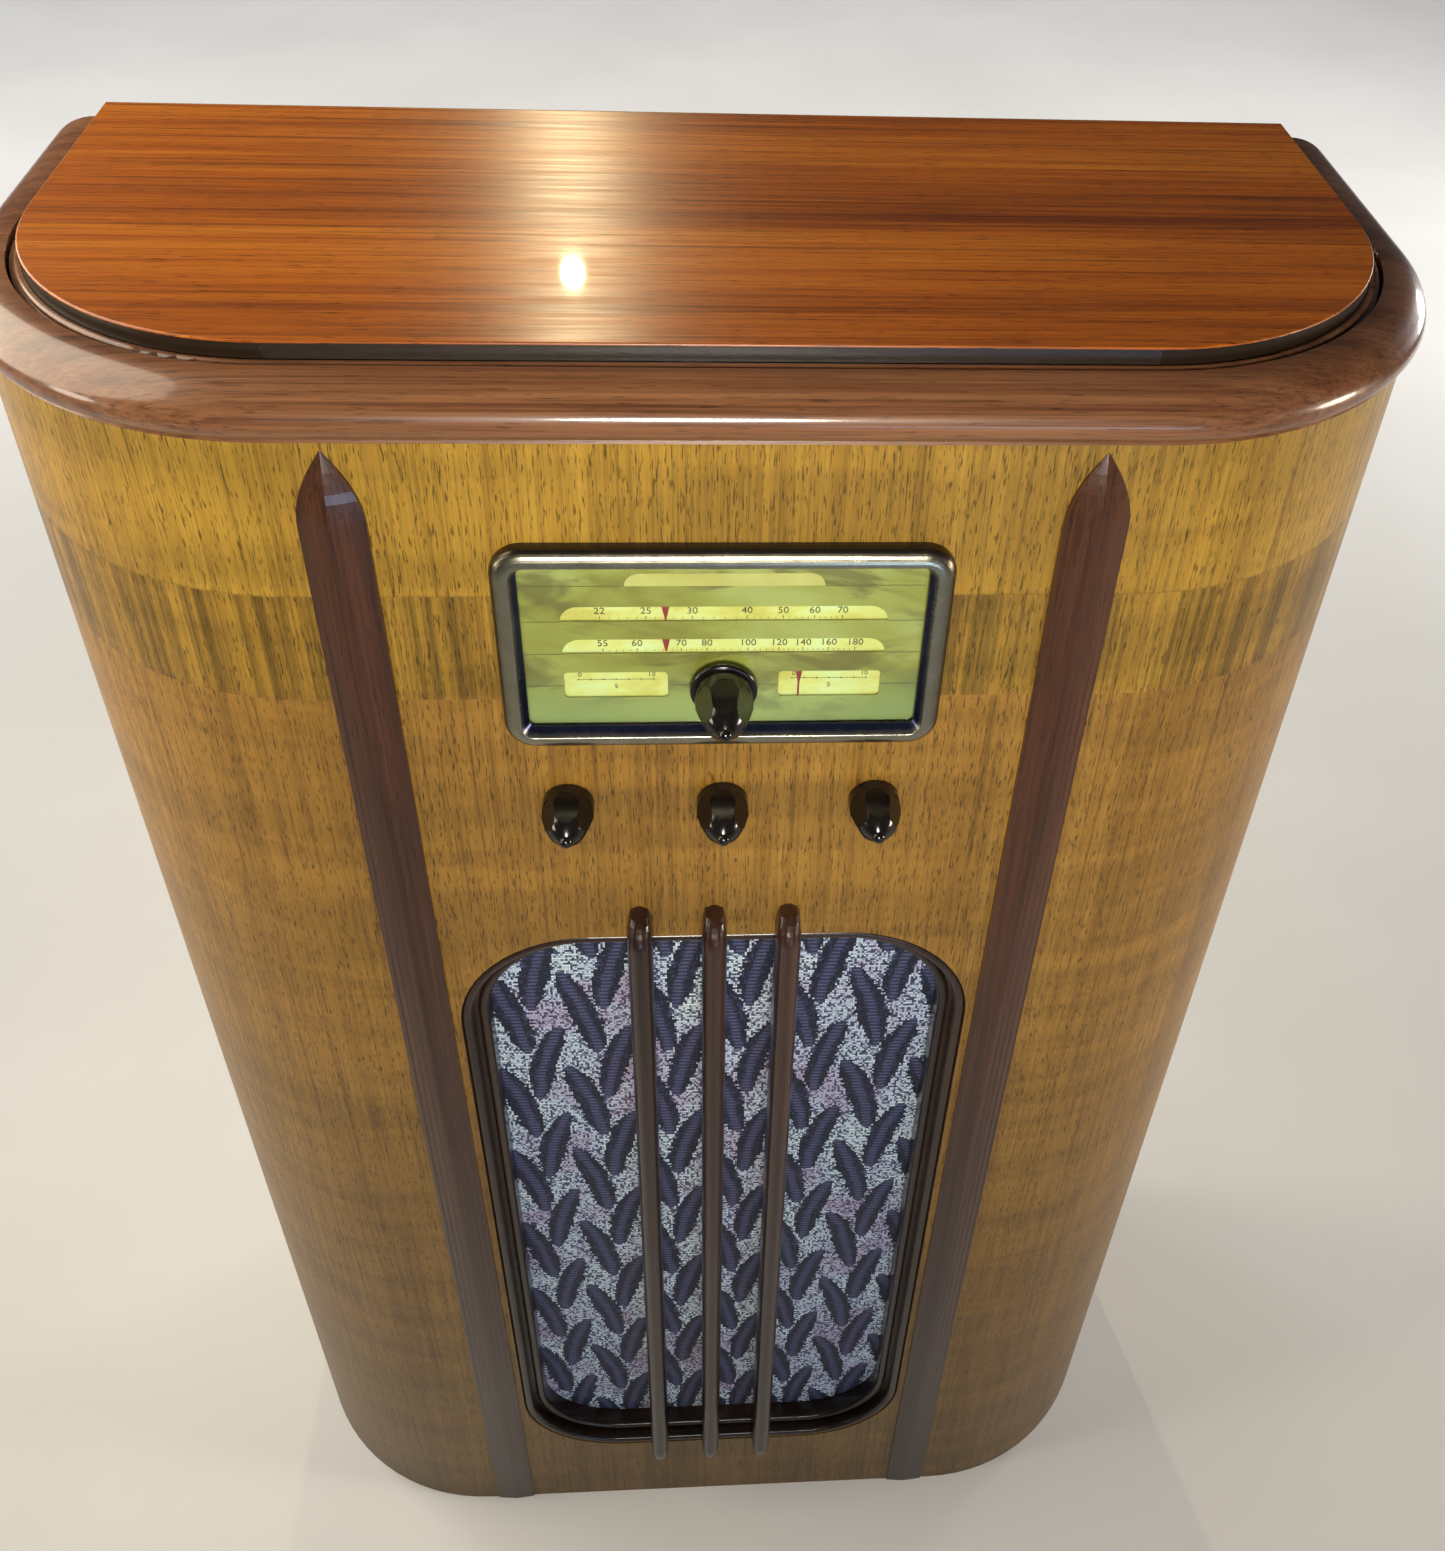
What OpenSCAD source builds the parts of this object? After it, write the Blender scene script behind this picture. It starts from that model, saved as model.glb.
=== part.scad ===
// Floor-standing console radio of the late 1930s.
// Bent-plywood cabinet with an open back, slide-rule dial, four bullet knobs and a
// cloth-covered loudspeaker baffle. Front faces -Y, the floor is z = 0.

/* [Cabinet] */
// Width of the plywood body
body_w = 636; // [600:1:700]
// Depth of the plywood body
body_d = 264; // [262:1:290]
// Height of the body up to the joint under the cap
body_h = 960; // [958:1:980]
// Plan radius of the two bent front corners
corner_r = 144; // [138:1:150]
// Thickness of the bent plywood
ply_t = 10; // [8:0.5:10]
// Height of the cap above the body, top board included
cap_h = 30; // [30:1:34]
// How far the top board's edge lies inside the body's face
slab_inset = 23; // [23:0.5:25]

/* [Front trim] */
// Distance of each pilaster's ridge from the centre line
pilaster_x = 153.5; // [152:0.5:158]
// Width of a pilaster
pilaster_w = 27; // [24:0.5:30]
// How far a pilaster's ridge stands out near its tip
pilaster_proud = 7; // [5:0.5:8]
// How far its ridge stands out at the floor
pilaster_foot = 2.2; // [2:0.1:5]
// Height of a pilaster's tip above the floor
pilaster_top = 956; // [940:1:957]
// Half width of the grille opening
grille_hw = 136; // [130:1:137]
// Lower edge of the grille opening
grille_z0 = 84; // [80:1:90]
// Upper edge of the grille opening
grille_z1 = 669.5; // [660:0.5:672]
// Corner radius of the grille opening
grille_r = 70; // [60:1:72]
// Where the middle grille bar stands
bar_x = -1.5; // [-2:0.5:2]
// Distance between grille bars
bar_pitch = 37.5; // [34:0.5:42]
// Width of a grille bar
bar_w = 12.5; // [10:0.5:14]
// How far a grille bar stands out of the front
bar_proud = 18; // [14:1:20]

/* [Dial] */
// How far the dial and the controls sit to the right of the centre line
dial_x = 1.8; // [0:0.1:2]
// Half width of the dial frame
frame_hw = 96.5; // [96:0.5:98]
// Height of the dial's centre above the floor
dial_z = 859.5; // [859:0.5:860]
// Half height of the dial frame
frame_hh = 53.8; // [53.8:0.1:55]
// Width of the dial frame's rim
rim_w = 11; // [10.5:0.5:11]
// How far the dial frame stands out
frame_proud = 8; // [7:0.5:9]

/* [Controls] */
// Height of the tuning shaft above the floor
tune_z = 838; // [837.5:0.5:838.5]
// Height of the three lower shafts above the floor
control_z = 766.5; // [766:0.5:767]
// Distance between the lower shafts
control_pitch = 71.5; // [71:0.5:73]
// Diameter of the control shafts
shaft_d = 6.35; // [6:0.05:6.5]
// Largest radius of a lower knob
knob_r = 12; // [11:0.5:13]
// Length of a lower knob
knob_len = 28; // [26:1:30]
// Where the tuning pointer stands on its scale
tune_at = -23; // [-60:0.1:60]
// Where the tone pointer stands on its scale
tone_at = 35; // [31:0.1:68]
// Where the volume pointer stands on its scale, just behind the mask at the off end
volume_at = -70.2; // [-70.2:0.1:-26]

/* [Loudspeaker] */
// Height of the loudspeaker's axis above the floor
speaker_z = 430; // [380:5:500]
// Outer radius of the loudspeaker's frame
speaker_r = 127; // [120:1:128]

/* [Hidden] */

$fn = 64;
eps = 0.01;
slab_t = 7.5;
gap = 0.3;

hw = body_w / 2;
front_y = -body_d / 2;
back_y = body_d / 2;
wall_in = front_y + ply_t;
corner_cy = front_y + corner_r;
corner_cx = hw - corner_r;

// the dial's layers, front to back
glass_front = front_y - 2.3;
glass_t = 2;
mask_front = front_y + 0.8;
mask_t = 0.6;
blade_front = front_y + 1.7;
blade_t = 0.5;
scale_front = front_y + 2.5;
scale_t = 1;
window_hw = frame_hw - rim_w;
dial_hh = frame_hh - rim_w;
plate_hw = window_hw + 2;
plate_hh = dial_hh + 2;
opening_hw = window_hw + 2.5;
opening_hh = dial_hh + 2.5;
band_x0 = -67.6;
band_x1 = 71.9;
short_z = 872;
medium_z = 854.5;
band_win_h = 7.8;
small_z = 829.6;
small_h = 14.5;
small_w = 45.1;
volume_win_x = -67.6;
tone_win_x = 26;
scale_z0 = 825;
scale_z1 = 890;

// the tuning drive lies in one plane behind the dial
cord_r = 0.4;
cord_y = front_y + 24;
bush_path_r = 5;
idler_path_r = 6;
drum_path_r = 40.7;
groove_gap = 0.3;
bush_c = [dial_x, tune_z];
idler_left_c = [-96, 902];
idler_right_c = [185, 902];
drum_c = [140, 866];
top_rail_z = 897;
rail_r = 1.5;
fit = 0.05;
seat_fit = 0.02;

// the volume and tone pointers' drives lie in a plane nearer the front
low_cord_y = front_y + 16;
low_path_r = 7.83;
guide_path_r = 5;
guide_z = 821;
low_rail_z = 814;
low_rail_y = low_cord_y + 2.6;

bracket_y = front_y + 31;
bracket_t = 1.5;
chassis_y0 = front_y + 44;
chassis_d = 190;
chassis_hw = 195;
chassis_z = 728;
chassis_h = 76;
chassis_top = chassis_z + chassis_h;
steel_t = 1.5;
shelf_t = 16;
floor_t = 16;

baffle_y = front_y + 21;
cloth_front = front_y + 20;
cloth_t = 0.8;
baffle_t = 12;
baffle_back = baffle_y + baffle_t;
baffle_hole_r = 112;

shaft_r = shaft_d / 2;
bushing_r = 4.75;
control_hole_r = 6;
pot_r = 12;

tube_spots = [[30, 62], [82, 62], [15, -12], [68, -22], [-38, -12]];
bottle_spots = [[-84, 62], [-28, 62]];
bolt_spots = [[-172, 90], [172, 90], [-172, -78], [172, -78]];

// ---------- shared shapes ----------

// plan of the body: bent front corners, square back
module u_plan(inset, back = back_y) {
    for (s = [-1, 1]) intersection() {
        translate([s * corner_cx, corner_cy]) circle(r = corner_r - inset);
        translate([-hw, front_y]) square([body_w, corner_r + eps]);
    }
    translate([-corner_cx, front_y + inset]) square([2 * corner_cx, corner_r]);
    translate([-hw + inset, corner_cy]) square([2 * (hw - inset), back - corner_cy]);
}

// sweeps a profile (distance from the corner's centre, height) round the front and sides
module u_sweep() {
    for (m = [0, 1]) mirror([m, 0, 0]) {
        translate([corner_cx, corner_cy, 0]) rotate([0, 0, -90]) rotate_extrude(angle = 90) children();
        translate([corner_cx, back_y, 0]) rotate([90, 0, 0])
            linear_extrude(back_y - corner_cy) children();
    }
    translate([corner_cx, corner_cy, 0]) rotate([90, 0, -90]) linear_extrude(2 * corner_cx) children();
}

// rounded rectangle with its centre at the origin
module rounded(half_w, half_h, r) {
    square([2 * half_w, 2 * (half_h - r)], center = true);
    square([2 * (half_w - r), 2 * half_h], center = true);
    for (sx = [-1, 1]) for (sy = [-1, 1])
        translate([sx * (half_w - r), sy * (half_h - r)]) circle(r = r);
}

// sweeps a profile (distance from the corner's centre, height) round a rounded rectangle
module ring_sweep(cx, cy) {
    for (q = [0 : 3]) {
        odd = q % 2;
        a = odd == 0 ? cx : cy;
        b = odd == 0 ? cy : cx;
        rotate([0, 0, 90 * q]) {
            translate([a, b, 0]) rotate_extrude(angle = 90) children();
            translate([a, b, 0]) rotate([90, 0, 0]) linear_extrude(2 * b) children();
        }
    }
}

// stands a flat drawing up at depth y and gives it thickness t towards the back
module upright(y, t) {
    translate([0, y + t, 0]) rotate([90, 0, 0]) linear_extrude(t) children();
}

// cylinder along Y from y0 to y1
module rod_y(x, z, y0, y1, r) {
    translate([x, y1, z]) rotate([90, 0, 0]) cylinder(r = r, h = y1 - y0);
}

// turns a drawing in (radius, distance in front of y = 0) about an axis along Y
module turned_y(x, z) {
    translate([x, 0, z]) rotate([90, 0, 0]) rotate_extrude() children();
}

// skins a stack of rings, each a list of points that runs anticlockwise seen from above
module loft(rings) {
    n = len(rings[0]);
    last = len(rings) - 1;
    side = [for (i = [0 : last - 1]) for (k = [0 : n - 1])
        let (a = i * n + k, b = i * n + (k + 1) % n)
        each [[a, a + n, b + n], [a, b + n, b]]];
    foot = [for (k = [0 : n - 1]) k];
    head = [for (k = [n - 1 : -1 : 0]) last * n + k];
    polyhedron([for (r = rings) each r], concat([foot], side, [head]));
}

// x of the lower shafts: -1 volume, 0 band, 1 tone
function control_x(i) = dial_x + i * control_pitch;

// ---------- cabinet ----------

module grille_outline(inset) {
    translate([0, (grille_z0 + grille_z1) / 2])
        rounded(grille_hw - inset, (grille_z1 - grille_z0) / 2 - inset, grille_r - inset);
}

module cabinet_wrap() {
    color("peru") difference() {
        linear_extrude(body_h) difference() {
            u_plan(0);
            u_plan(ply_t, back_y + 1);
        }
        upright(front_y - 1, ply_t + 2) grille_outline(0);
        upright(front_y - 1, ply_t + 2) translate([dial_x, dial_z])
            square([2 * opening_hw, 2 * opening_hh], center = true);
        for (i = [-1 : 1])
            rod_y(control_x(i), control_z, front_y - 1, wall_in + 1, control_hole_r);
    }
}

module bottom_board() {
    color("tan") linear_extrude(floor_t) u_plan(ply_t);
}

// glue blocks in the corners and the cleats that carry the shelf
module corner_blocks() {
    block = 26;
    cleat_z = chassis_z - shelf_t - block;
    side_x = hw - ply_t;
    color("burlywood") for (m = [0, 1]) mirror([m, 0, 0]) {
        for (y = [back_y - 10, corner_cy + 54]) translate([side_x, y, floor_t])
            rotate([90, 0, 0]) linear_extrude(50) polygon([[0, 0], [-block, 0], [0, block]]);
        translate([side_x - block, corner_cy + 4, cleat_z]) cube([block, back_y - corner_cy - 30, block]);
        translate([side_x - block, back_y - 22, chassis_z + 4])
            cube([block, 20, body_h - chassis_z - 6]);
    }
    color("burlywood") translate([-100, wall_in, floor_t]) cube([200, block, block]);
}

module chassis_shelf() {
    color("tan") translate([0, 0, chassis_z - shelf_t]) difference() {
        linear_extrude(shelf_t) u_plan(ply_t, back_y - 24);
        for (p = bolt_spots) translate([p[0], p[1], -1]) cylinder(r = 3.3, h = shelf_t + 2);
    }
}

// section of the cap: seat for the top board, bead, groove, crown and rounded nose
module cap_profile() {
    z0 = body_h;
    crown_r = 28;
    crown = [corner_r - 17, z0 - 5];
    nose_r = 9;
    nose = [corner_r - 4, z0 + 8.92];
    bead_r = 2.2;
    bead_z = z0 + cap_h - slab_t - bead_r - 0.1;
    slab_r = corner_r - slab_inset;
    ring_w = 60;
    seat_w = 26;
    translate([corner_r - ring_w, z0]) square([ring_w - seat_w, cap_h - slab_t]);
    translate([slab_r - 4, z0]) square([9, bead_z - z0]);
    translate([slab_r + 1.2, bead_z]) circle(r = bead_r);
    intersection() {
        translate(crown) circle(r = crown_r);
        polygon([[crown[0], z0], [crown[0], z0 + 40], [crown[0] + 60, z0 + 40],
                 [nose[0] + 26, nose[1] + 28], nose]);
    }
    translate(nose) circle(r = nose_r);
    polygon([[crown[0] - 1, z0], [corner_r + 1, z0], nose]);
}

module cap_moulding() {
    color("saddlebrown") u_sweep() intersection() {
        cap_profile();
        translate([0, body_h]) square([2 * corner_r, cap_h]);
    }
}

// board with a crisp rounded arris; its core sits inside the ring of the cap
module top_panel() {
    edge_r = 0.8;
    slab_z = body_h + cap_h - slab_t;
    core_inset = 60 + gap;
    core_z = body_h + 8;
    color("sienna") {
        translate([0, 0, slab_z]) linear_extrude(slab_t) u_plan(slab_inset + edge_r);
        u_sweep() translate([corner_r - slab_inset - 2 * edge_r, slab_z]) {
            square([2 * edge_r, slab_t - edge_r]);
            translate([edge_r, slab_t - edge_r]) circle(r = edge_r);
        }
        translate([0, 0, core_z]) linear_extrude(slab_z - core_z + eps) u_plan(core_inset);
    }
}

// ---------- front trim ----------

// half of a pilaster's face from its edge (s = 0) to the ridge (s = 1), slightly crowned
function crowned(s) = s + 0.35 * s * (1 - s);

// ring of a pilaster at height z: k scales its width, proud is the height of its ridge
function pilaster_ring(z, k, proud) =
    let (h = pilaster_w / 2 * k, lip = 0.4 * proud, n = 4)
    concat([[h, front_y, z], [-h, front_y, z]],
           [for (i = [0 : n]) [-h * (1 - i / n), front_y - lip - (proud - lip) * crowned(i / n), z]],
           [for (i = [n - 1 : -1 : 0]) [h * (1 - i / n), front_y - lip - (proud - lip) * crowned(i / n), z]]);

// blade with an ogive tip, thicker towards the tip
module pilaster() {
    tip_len = 34;
    steps = 8;
    straight = pilaster_top - tip_len;
    loft(concat([pilaster_ring(0, 1, pilaster_foot)],
                [for (j = [0 : steps]) let (t = j / steps, k = max(0.02, 1 - pow(t, 2)))
                    pilaster_ring(straight + tip_len * t, k, pilaster_proud * k)]));
}

module left_pilaster() {
    color("saddlebrown") translate([-pilaster_x, 0, 0]) pilaster();
}

module right_pilaster() {
    color("saddlebrown") translate([pilaster_x, 0, 0]) pilaster();
}

// two rounded noses with a hollow between them lead from the front face back to the cloth
module grille_moulding() {
    back = -cloth_front;
    depth = cloth_front - front_y;
    nose_r = 2.9;
    outer = grille_r - 0.2;
    inner = grille_r - 14;
    outer_h = depth - nose_r - 0.1;
    inner_h = outer_h - 7;
    hollow_r = 9;
    color("maroon") translate([0, 0, (grille_z0 + grille_z1) / 2]) rotate([90, 0, 0])
        ring_sweep(grille_hw - grille_r, (grille_z1 - grille_z0) / 2 - grille_r) {
            union() {
                translate([outer - 2 * nose_r, back]) square([2 * nose_r, outer_h]);
                translate([outer - nose_r, back + outer_h]) circle(r = nose_r);
                translate([inner, back]) square([2 * nose_r, inner_h]);
                translate([inner + nose_r, back + inner_h]) circle(r = nose_r);
                difference() {
                    translate([inner + nose_r, back]) square([14 - 2 * nose_r, inner_h + 2]);
                    translate([(inner + outer) / 2, back + inner_h + hollow_r]) circle(r = hollow_r);
                }
            }
        }
}

// ring of a grille bar at height z: kw scales its width, kp how far it stands out
function bar_ring(x, z, kw, kp) =
    let (r = bar_w / 2 * kw, dome = 8 * kp, side = bar_proud * kp - dome, n = 12)
    concat([[x - r, front_y, z]],
           [for (i = [0 : n]) let (a = 180 - 180 * i / n)
               [x + r * cos(a), front_y - side - dome * sin(a), z]],
           [[x + r, front_y, z]]);

// upright bar with a fingertip at the top and a longer, narrower one at the foot
module grille_bar(x) {
    z0 = 74;
    z1 = 692.5;
    tip = 16;
    foot = 30;
    n = 8;
    least = 0.03;
    loft(concat([for (i = [n : -1 : 0]) let (k = max(least, sqrt(1 - pow(i / n, 2))))
                    bar_ring(x, z0 + foot - foot * i / n, k, k)],
                [for (i = [0 : n]) let (k = max(least, sqrt(1 - pow(i / n, 2))))
                    bar_ring(x, z1 - tip + tip * i / n, max(least, sqrt(k)), k)]));
}

module grille_bar_left() {
    color("maroon") grille_bar(bar_x - bar_pitch);
}

module grille_bar_centre() {
    color("maroon") grille_bar(bar_x);
}

module grille_bar_right() {
    color("maroon") grille_bar(bar_x + bar_pitch);
}

// ---------- baffle and loudspeaker ----------

module baffle_battens() {
    t = baffle_y - wall_in;
    x = grille_hw + 1;
    h = 640;
    color("burlywood") {
        for (s = [-1, 1]) translate([s * (x + 8) - 8, wall_in, grille_z0 - 16]) cube([16, t, h]);
        translate([-60, wall_in, grille_z0 - 16]) cube([120, t, 14]);
        translate([-60, wall_in, grille_z1 + 2]) cube([120, t, 14]);
    }
}

module speaker_baffle() {
    color("tan") difference() {
        translate([-grille_hw - 17, baffle_y, grille_z0 - 16]) cube([2 * grille_hw + 34, baffle_t, 624]);
        rod_y(0, speaker_z, baffle_y - 1, baffle_back + 1, baffle_hole_r);
        for (p = bolt_ring()) rod_y(p[0], p[1], baffle_y - 1, baffle_back + 1, 2.2);
    }
}

module grille_cloth() {
    color("lavender") upright(cloth_front, cloth_t) grille_outline(2);
}

function bolt_ring() = [for (i = [0 : 3]) [120 * cos(45 + 90 * i), speaker_z + 120 * sin(45 + 90 * i)]];

// pressed steel frame: flange, ribs between four windows, rear seat
module speaker_basket() {
    f = -baffle_back;
    seat = 40;
    color("gray") difference() {
        turned_y(0, speaker_z) polygon([[112, f], [speaker_r, f], [speaker_r, f - 2], [112, f - 2],
            [48, seat], [26, seat], [26, seat + 2], [47, seat + 2], [110.5, f]]);
        for (i = [0 : 3]) translate([0, 0, speaker_z]) rotate([0, 90 * i, 0])
            translate([-26, 7 - f, 55]) cube([52, 36, 44]);
        for (p = bolt_ring()) rod_y(p[0], p[1], -f - 1, -f + 4, 2.2);
    }
}

module speaker_cone() {
    rim = -baffle_back - 3;
    neck = 50;
    color("dimgray") turned_y(0, speaker_z)
        polygon([[97, rim], [103.5, rim], [103.5, rim - 0.8], [97.4, rim - 0.8], [21.5, neck - 1],
                 [21.5, 24], [20.6, 24], [20.6, neck - 0.4], [0, neck - 0.4], [0, neck + 0.4],
                 [21.2, neck + 0.4]]);
}

// wound field magnet behind the frame, with the gap the voice coil moves in
module field_magnet() {
    color("black") turned_y(0, speaker_z) polygon([[0, 38], [19, 38], [19, 18], [23.5, 18], [23.5, 39.8],
        [46, 39.8], [46, -20], [42, -24], [0, -24]]);
}

// sits on a saddle on top of the field magnet
module output_transformer() {
    saddle_z = speaker_z + 49;
    color("silver") {
        difference() {
            translate([-30, -30, speaker_z + 36]) cube([60, 40, saddle_z - speaker_z - 36]);
            rod_y(0, speaker_z, -31, 11, 46.05);
        }
        translate([-22, -27, saddle_z]) cube([44, 34, 36]);
        translate([-15, -32, saddle_z + 5]) cube([30, 44, 26]);
    }
}

module speaker_bolts() {
    color("silver") for (p = bolt_ring()) {
        rod_y(p[0], p[1], baffle_y + 0.2, baffle_back + 8, 2);
        translate([0, baffle_back + 2, 0]) rotate([-90, 0, 0]) translate([p[0], -p[1], 0])
            cylinder(r = 4.5, h = 3.5, $fn = 6);
    }
}

// ---------- dial ----------

// cast frame: its face rises in a quarter round to a lip, then falls to the glass in its rebate
module dial_escutcheon() {
    cr = 14;
    base = -front_y;
    edge_h = 2.4;
    face_w = 7.2;
    lip_r = 0.9;
    rebate_h = 2.6;
    rise = frame_proud - edge_h;
    lip_x = cr - face_w;
    face = [for (i = [0 : 9]) [lip_x + face_w * cos(10 * i), base + edge_h + rise * sin(10 * i)]];
    color("darkgoldenrod") translate([dial_x, 0, dial_z]) rotate([90, 0, 0]) difference() {
        ring_sweep(frame_hw - cr, frame_hh - cr) {
            union() {
                polygon(concat([[cr - rim_w, base], [cr, base]], face,
                               [[lip_x - lip_r, base + frame_proud - lip_r], [cr - rim_w, base + 3.4]]));
                translate([lip_x, base + frame_proud - lip_r]) circle(r = lip_r);
            }
        }
        translate([0, 0, base - 1]) linear_extrude(1 + rebate_h)
            square([2 * plate_hw + 0.4, 2 * plate_hh + 0.4], center = true);
    }
}

module dial_plate(front, t) {
    upright(front, t) difference() {
        children();
        translate(bush_c) circle(r = 4.4);
    }
}

module dial_glass() {
    color("white", 0.3) dial_plate(glass_front, glass_t)
        translate([dial_x, dial_z]) square([2 * plate_hw, 2 * plate_hh], center = true);
}

// a long window: straight below, quarter rounds at its upper corners
module band_window() {
    w = band_x1 - band_x0;
    r = band_win_h;
    translate([band_x0 + r, 0]) intersection() {
        union() {
            circle(r = r);
            translate([w - 2 * r, 0]) circle(r = r);
            square([w - 2 * r, r]);
        }
        translate([-r, 0]) square([w, r]);
    }
}

module small_window() {
    translate([small_w / 2, small_h / 2]) rounded(small_w / 2, small_h / 2, 2);
}

module dial_mask() {
    color("olive") dial_plate(mask_front, mask_t) difference() {
        translate([dial_x, dial_z]) square([2 * plate_hw, 2 * plate_hh], center = true);
        translate([0, short_z]) band_window();
        translate([0, medium_z]) band_window();
        translate([volume_win_x, small_z]) small_window();
        translate([tone_win_x, small_z]) small_window();
    }
}

module dial_scale() {
    color("khaki") dial_plate(scale_front, scale_t)
        translate([dial_x - plate_hw, scale_z0]) square([2 * plate_hw, scale_z1 - scale_z0]);
}

// wedge hanging from a point, as the pointers show in their windows
module wedge(x, z, h, w) {
    translate([x, z]) polygon([[-w, h], [w, h], [0.35, 0], [-0.35, 0]]);
}

// blade over both long scales, bracket over the scale's top edge, carriage on the upper rail
module tuning_pointer() {
    half = 7;
    cord_z = idler_left_c[1] + idler_path_r;
    color("firebrick") {
        upright(blade_front, blade_t) {
            wedge(tune_at, short_z + 0.6, 8, 2);
            wedge(tune_at, medium_z + 0.6, 8, 2);
            translate([tune_at - 0.4, medium_z + 5]) square([0.8, scale_z1 - medium_z - 2]);
            translate([tune_at - 2, scale_z1 + 1]) square([4, 4]);
        }
        translate([tune_at - 2, blade_front, scale_z1 + 2]) cube([4, cord_y - 4 - blade_front + 1, 3]);
    }
    color("silver") difference() {
        translate([tune_at - half, cord_y - 4, top_rail_z - 4.5])
            cube([2 * half, 8, cord_z + 1 - top_rail_z + 4.5]);
        translate([tune_at - half - 1, cord_y, top_rail_z]) rotate([0, 90, 0])
            cylinder(r = rail_r + fit, h = 2 * half + 2);
        translate([tune_at - half - 1, cord_y - cord_r - gap, cord_z - cord_r - gap])
            cube([2 * half + 2, 2 * (cord_r + gap), 4]);
    }
}

module low_pointer(x) {
    half = 5;
    cord_z = guide_z + guide_path_r;
    color("firebrick") {
        upright(blade_front, blade_t) {
            wedge(x, small_z + 7.2, 7.5, 1.6);
            translate([x - 0.4, guide_z - 1]) square([0.8, 22]);
            translate([x - 2, guide_z - 1]) square([4, 3]);
        }
        translate([x - 2, blade_front, guide_z - 1]) cube([4, low_cord_y - 3 - blade_front + 1, 3]);
    }
    color("silver") difference() {
        translate([x - half, low_cord_y - 3, low_rail_z - 3])
            cube([2 * half, 8, cord_z + 1 - low_rail_z + 3]);
        translate([x - half - 1, low_rail_y, low_rail_z]) rotate([0, 90, 0])
            cylinder(r = rail_r + fit, h = 2 * half + 2);
        translate([x - half - 1, low_cord_y - cord_r - gap, cord_z - cord_r - gap])
            cube([2 * half + 2, 2 * (cord_r + gap), 4]);
    }
}

module volume_pointer() {
    low_pointer(volume_at);
}

module tone_pointer() {
    low_pointer(tone_at);
}

module pointer_rails() {
    top_hw = 84;
    low_hw = 92;
    color("silver") {
        translate([-top_hw, cord_y, top_rail_z]) rotate([0, 90, 0])
            cylinder(r = rail_r, h = 2 * top_hw);
        translate([-low_hw, low_rail_y, low_rail_z]) rotate([0, 90, 0])
            cylinder(r = rail_r, h = 2 * low_hw);
    }
}

// ---------- tuning drive ----------

// steel plate on the chassis that carries the dial, the rails, the idlers and the cord guides
module dial_bracket() {
    x0 = -106;
    x1 = 195;
    foot = 16;
    arm_x = window_hw - 1.5;
    color("lightgray") {
        difference() {
            union() {
                translate([x0, bracket_y, chassis_top]) cube([x1 - x0, bracket_t, 914 - chassis_top]);
                translate([x0, bracket_y, chassis_top]) cube([x1 - x0, foot, bracket_t]);
            }
            rod_y(drum_c[0], drum_c[1], bracket_y - 1, bracket_y + 3, 8);
            rod_y(bush_c[0], bush_c[1], bracket_y - 1, bracket_y + 3, bushing_r + seat_fit);
        }
        for (s = [-1, 1]) translate([s * arm_x - 0.75, scale_front + scale_t, 838])
            cube([1.5, bracket_y - scale_front - scale_t, 45]);
        for (s = [-1, 1]) translate([s * 82 - 1, cord_y - 3, top_rail_z - 3]) difference() {
            cube([2, bracket_y - cord_y + 3, 6]);
            translate([-1, 3, 3]) rotate([0, 90, 0]) cylinder(r = rail_r, h = 4);
        }
        for (s = [-1, 1]) translate([s * 90 - 1, low_rail_y - 3, low_rail_z - 3]) difference() {
            cube([2, bracket_y - low_rail_y + 3, 6]);
            translate([-1, 3, 3]) rotate([0, 90, 0]) cylinder(r = rail_r, h = 4);
        }
        for (p = [idler_left_c, idler_right_c]) rod_y(p[0], p[1], cord_y - 4, bracket_y, 2);
        for (p = guides()) rod_y(p[0], p[1], low_cord_y - 3, bracket_y, guide_path_r - cord_r - 0.05);
    }
}

function guides() = [for (x = [-81, -10, 17, 81]) [x, guide_z]];

// brass bushings that the four shafts turn in
module shaft_bushings() {
    color("gold") {
        difference() {
            union() {
                rod_y(bush_c[0], bush_c[1], bracket_y - 2, bracket_y + 6, bushing_r);
                rod_y(bush_c[0], bush_c[1], bracket_y + bracket_t, bracket_y + 4, 7.5);
            }
            rod_y(bush_c[0], bush_c[1], bracket_y - 3, bracket_y + 7, shaft_r + fit);
        }
        for (i = [-1 : 1]) difference() {
            union() {
                rod_y(control_x(i), control_z, chassis_y0 - 9, chassis_y0 + steel_t, bushing_r);
                rod_y(control_x(i), control_z, chassis_y0 - 3, chassis_y0, 7.5);
            }
            rod_y(control_x(i), control_z, chassis_y0 - 10, chassis_y0 + 3, shaft_r + fit);
        }
    }
}

// grooved pulley for the cord, drawn as radius against distance
module groove_profile(path_r, width, y, bore) {
    groove = path_r - cord_r - groove_gap;
    lip = path_r + 1.6;
    polygon([[bore, -y - width / 2], [lip, -y - width / 2], [lip, -y - width / 2 + 0.8], [groove, -y - 0.9],
             [groove, -y + 0.9], [lip, -y + width / 2 - 0.8], [lip, -y + width / 2], [bore, -y + width / 2]]);
}

module tuning_shaft() {
    color("silver") {
        rod_y(bush_c[0], bush_c[1], front_y - 19.5, bracket_y + 8, shaft_r);
        turned_y(bush_c[0], bush_c[1]) groove_profile(bush_path_r, 6, cord_y, shaft_r - 1);
    }
}

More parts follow.
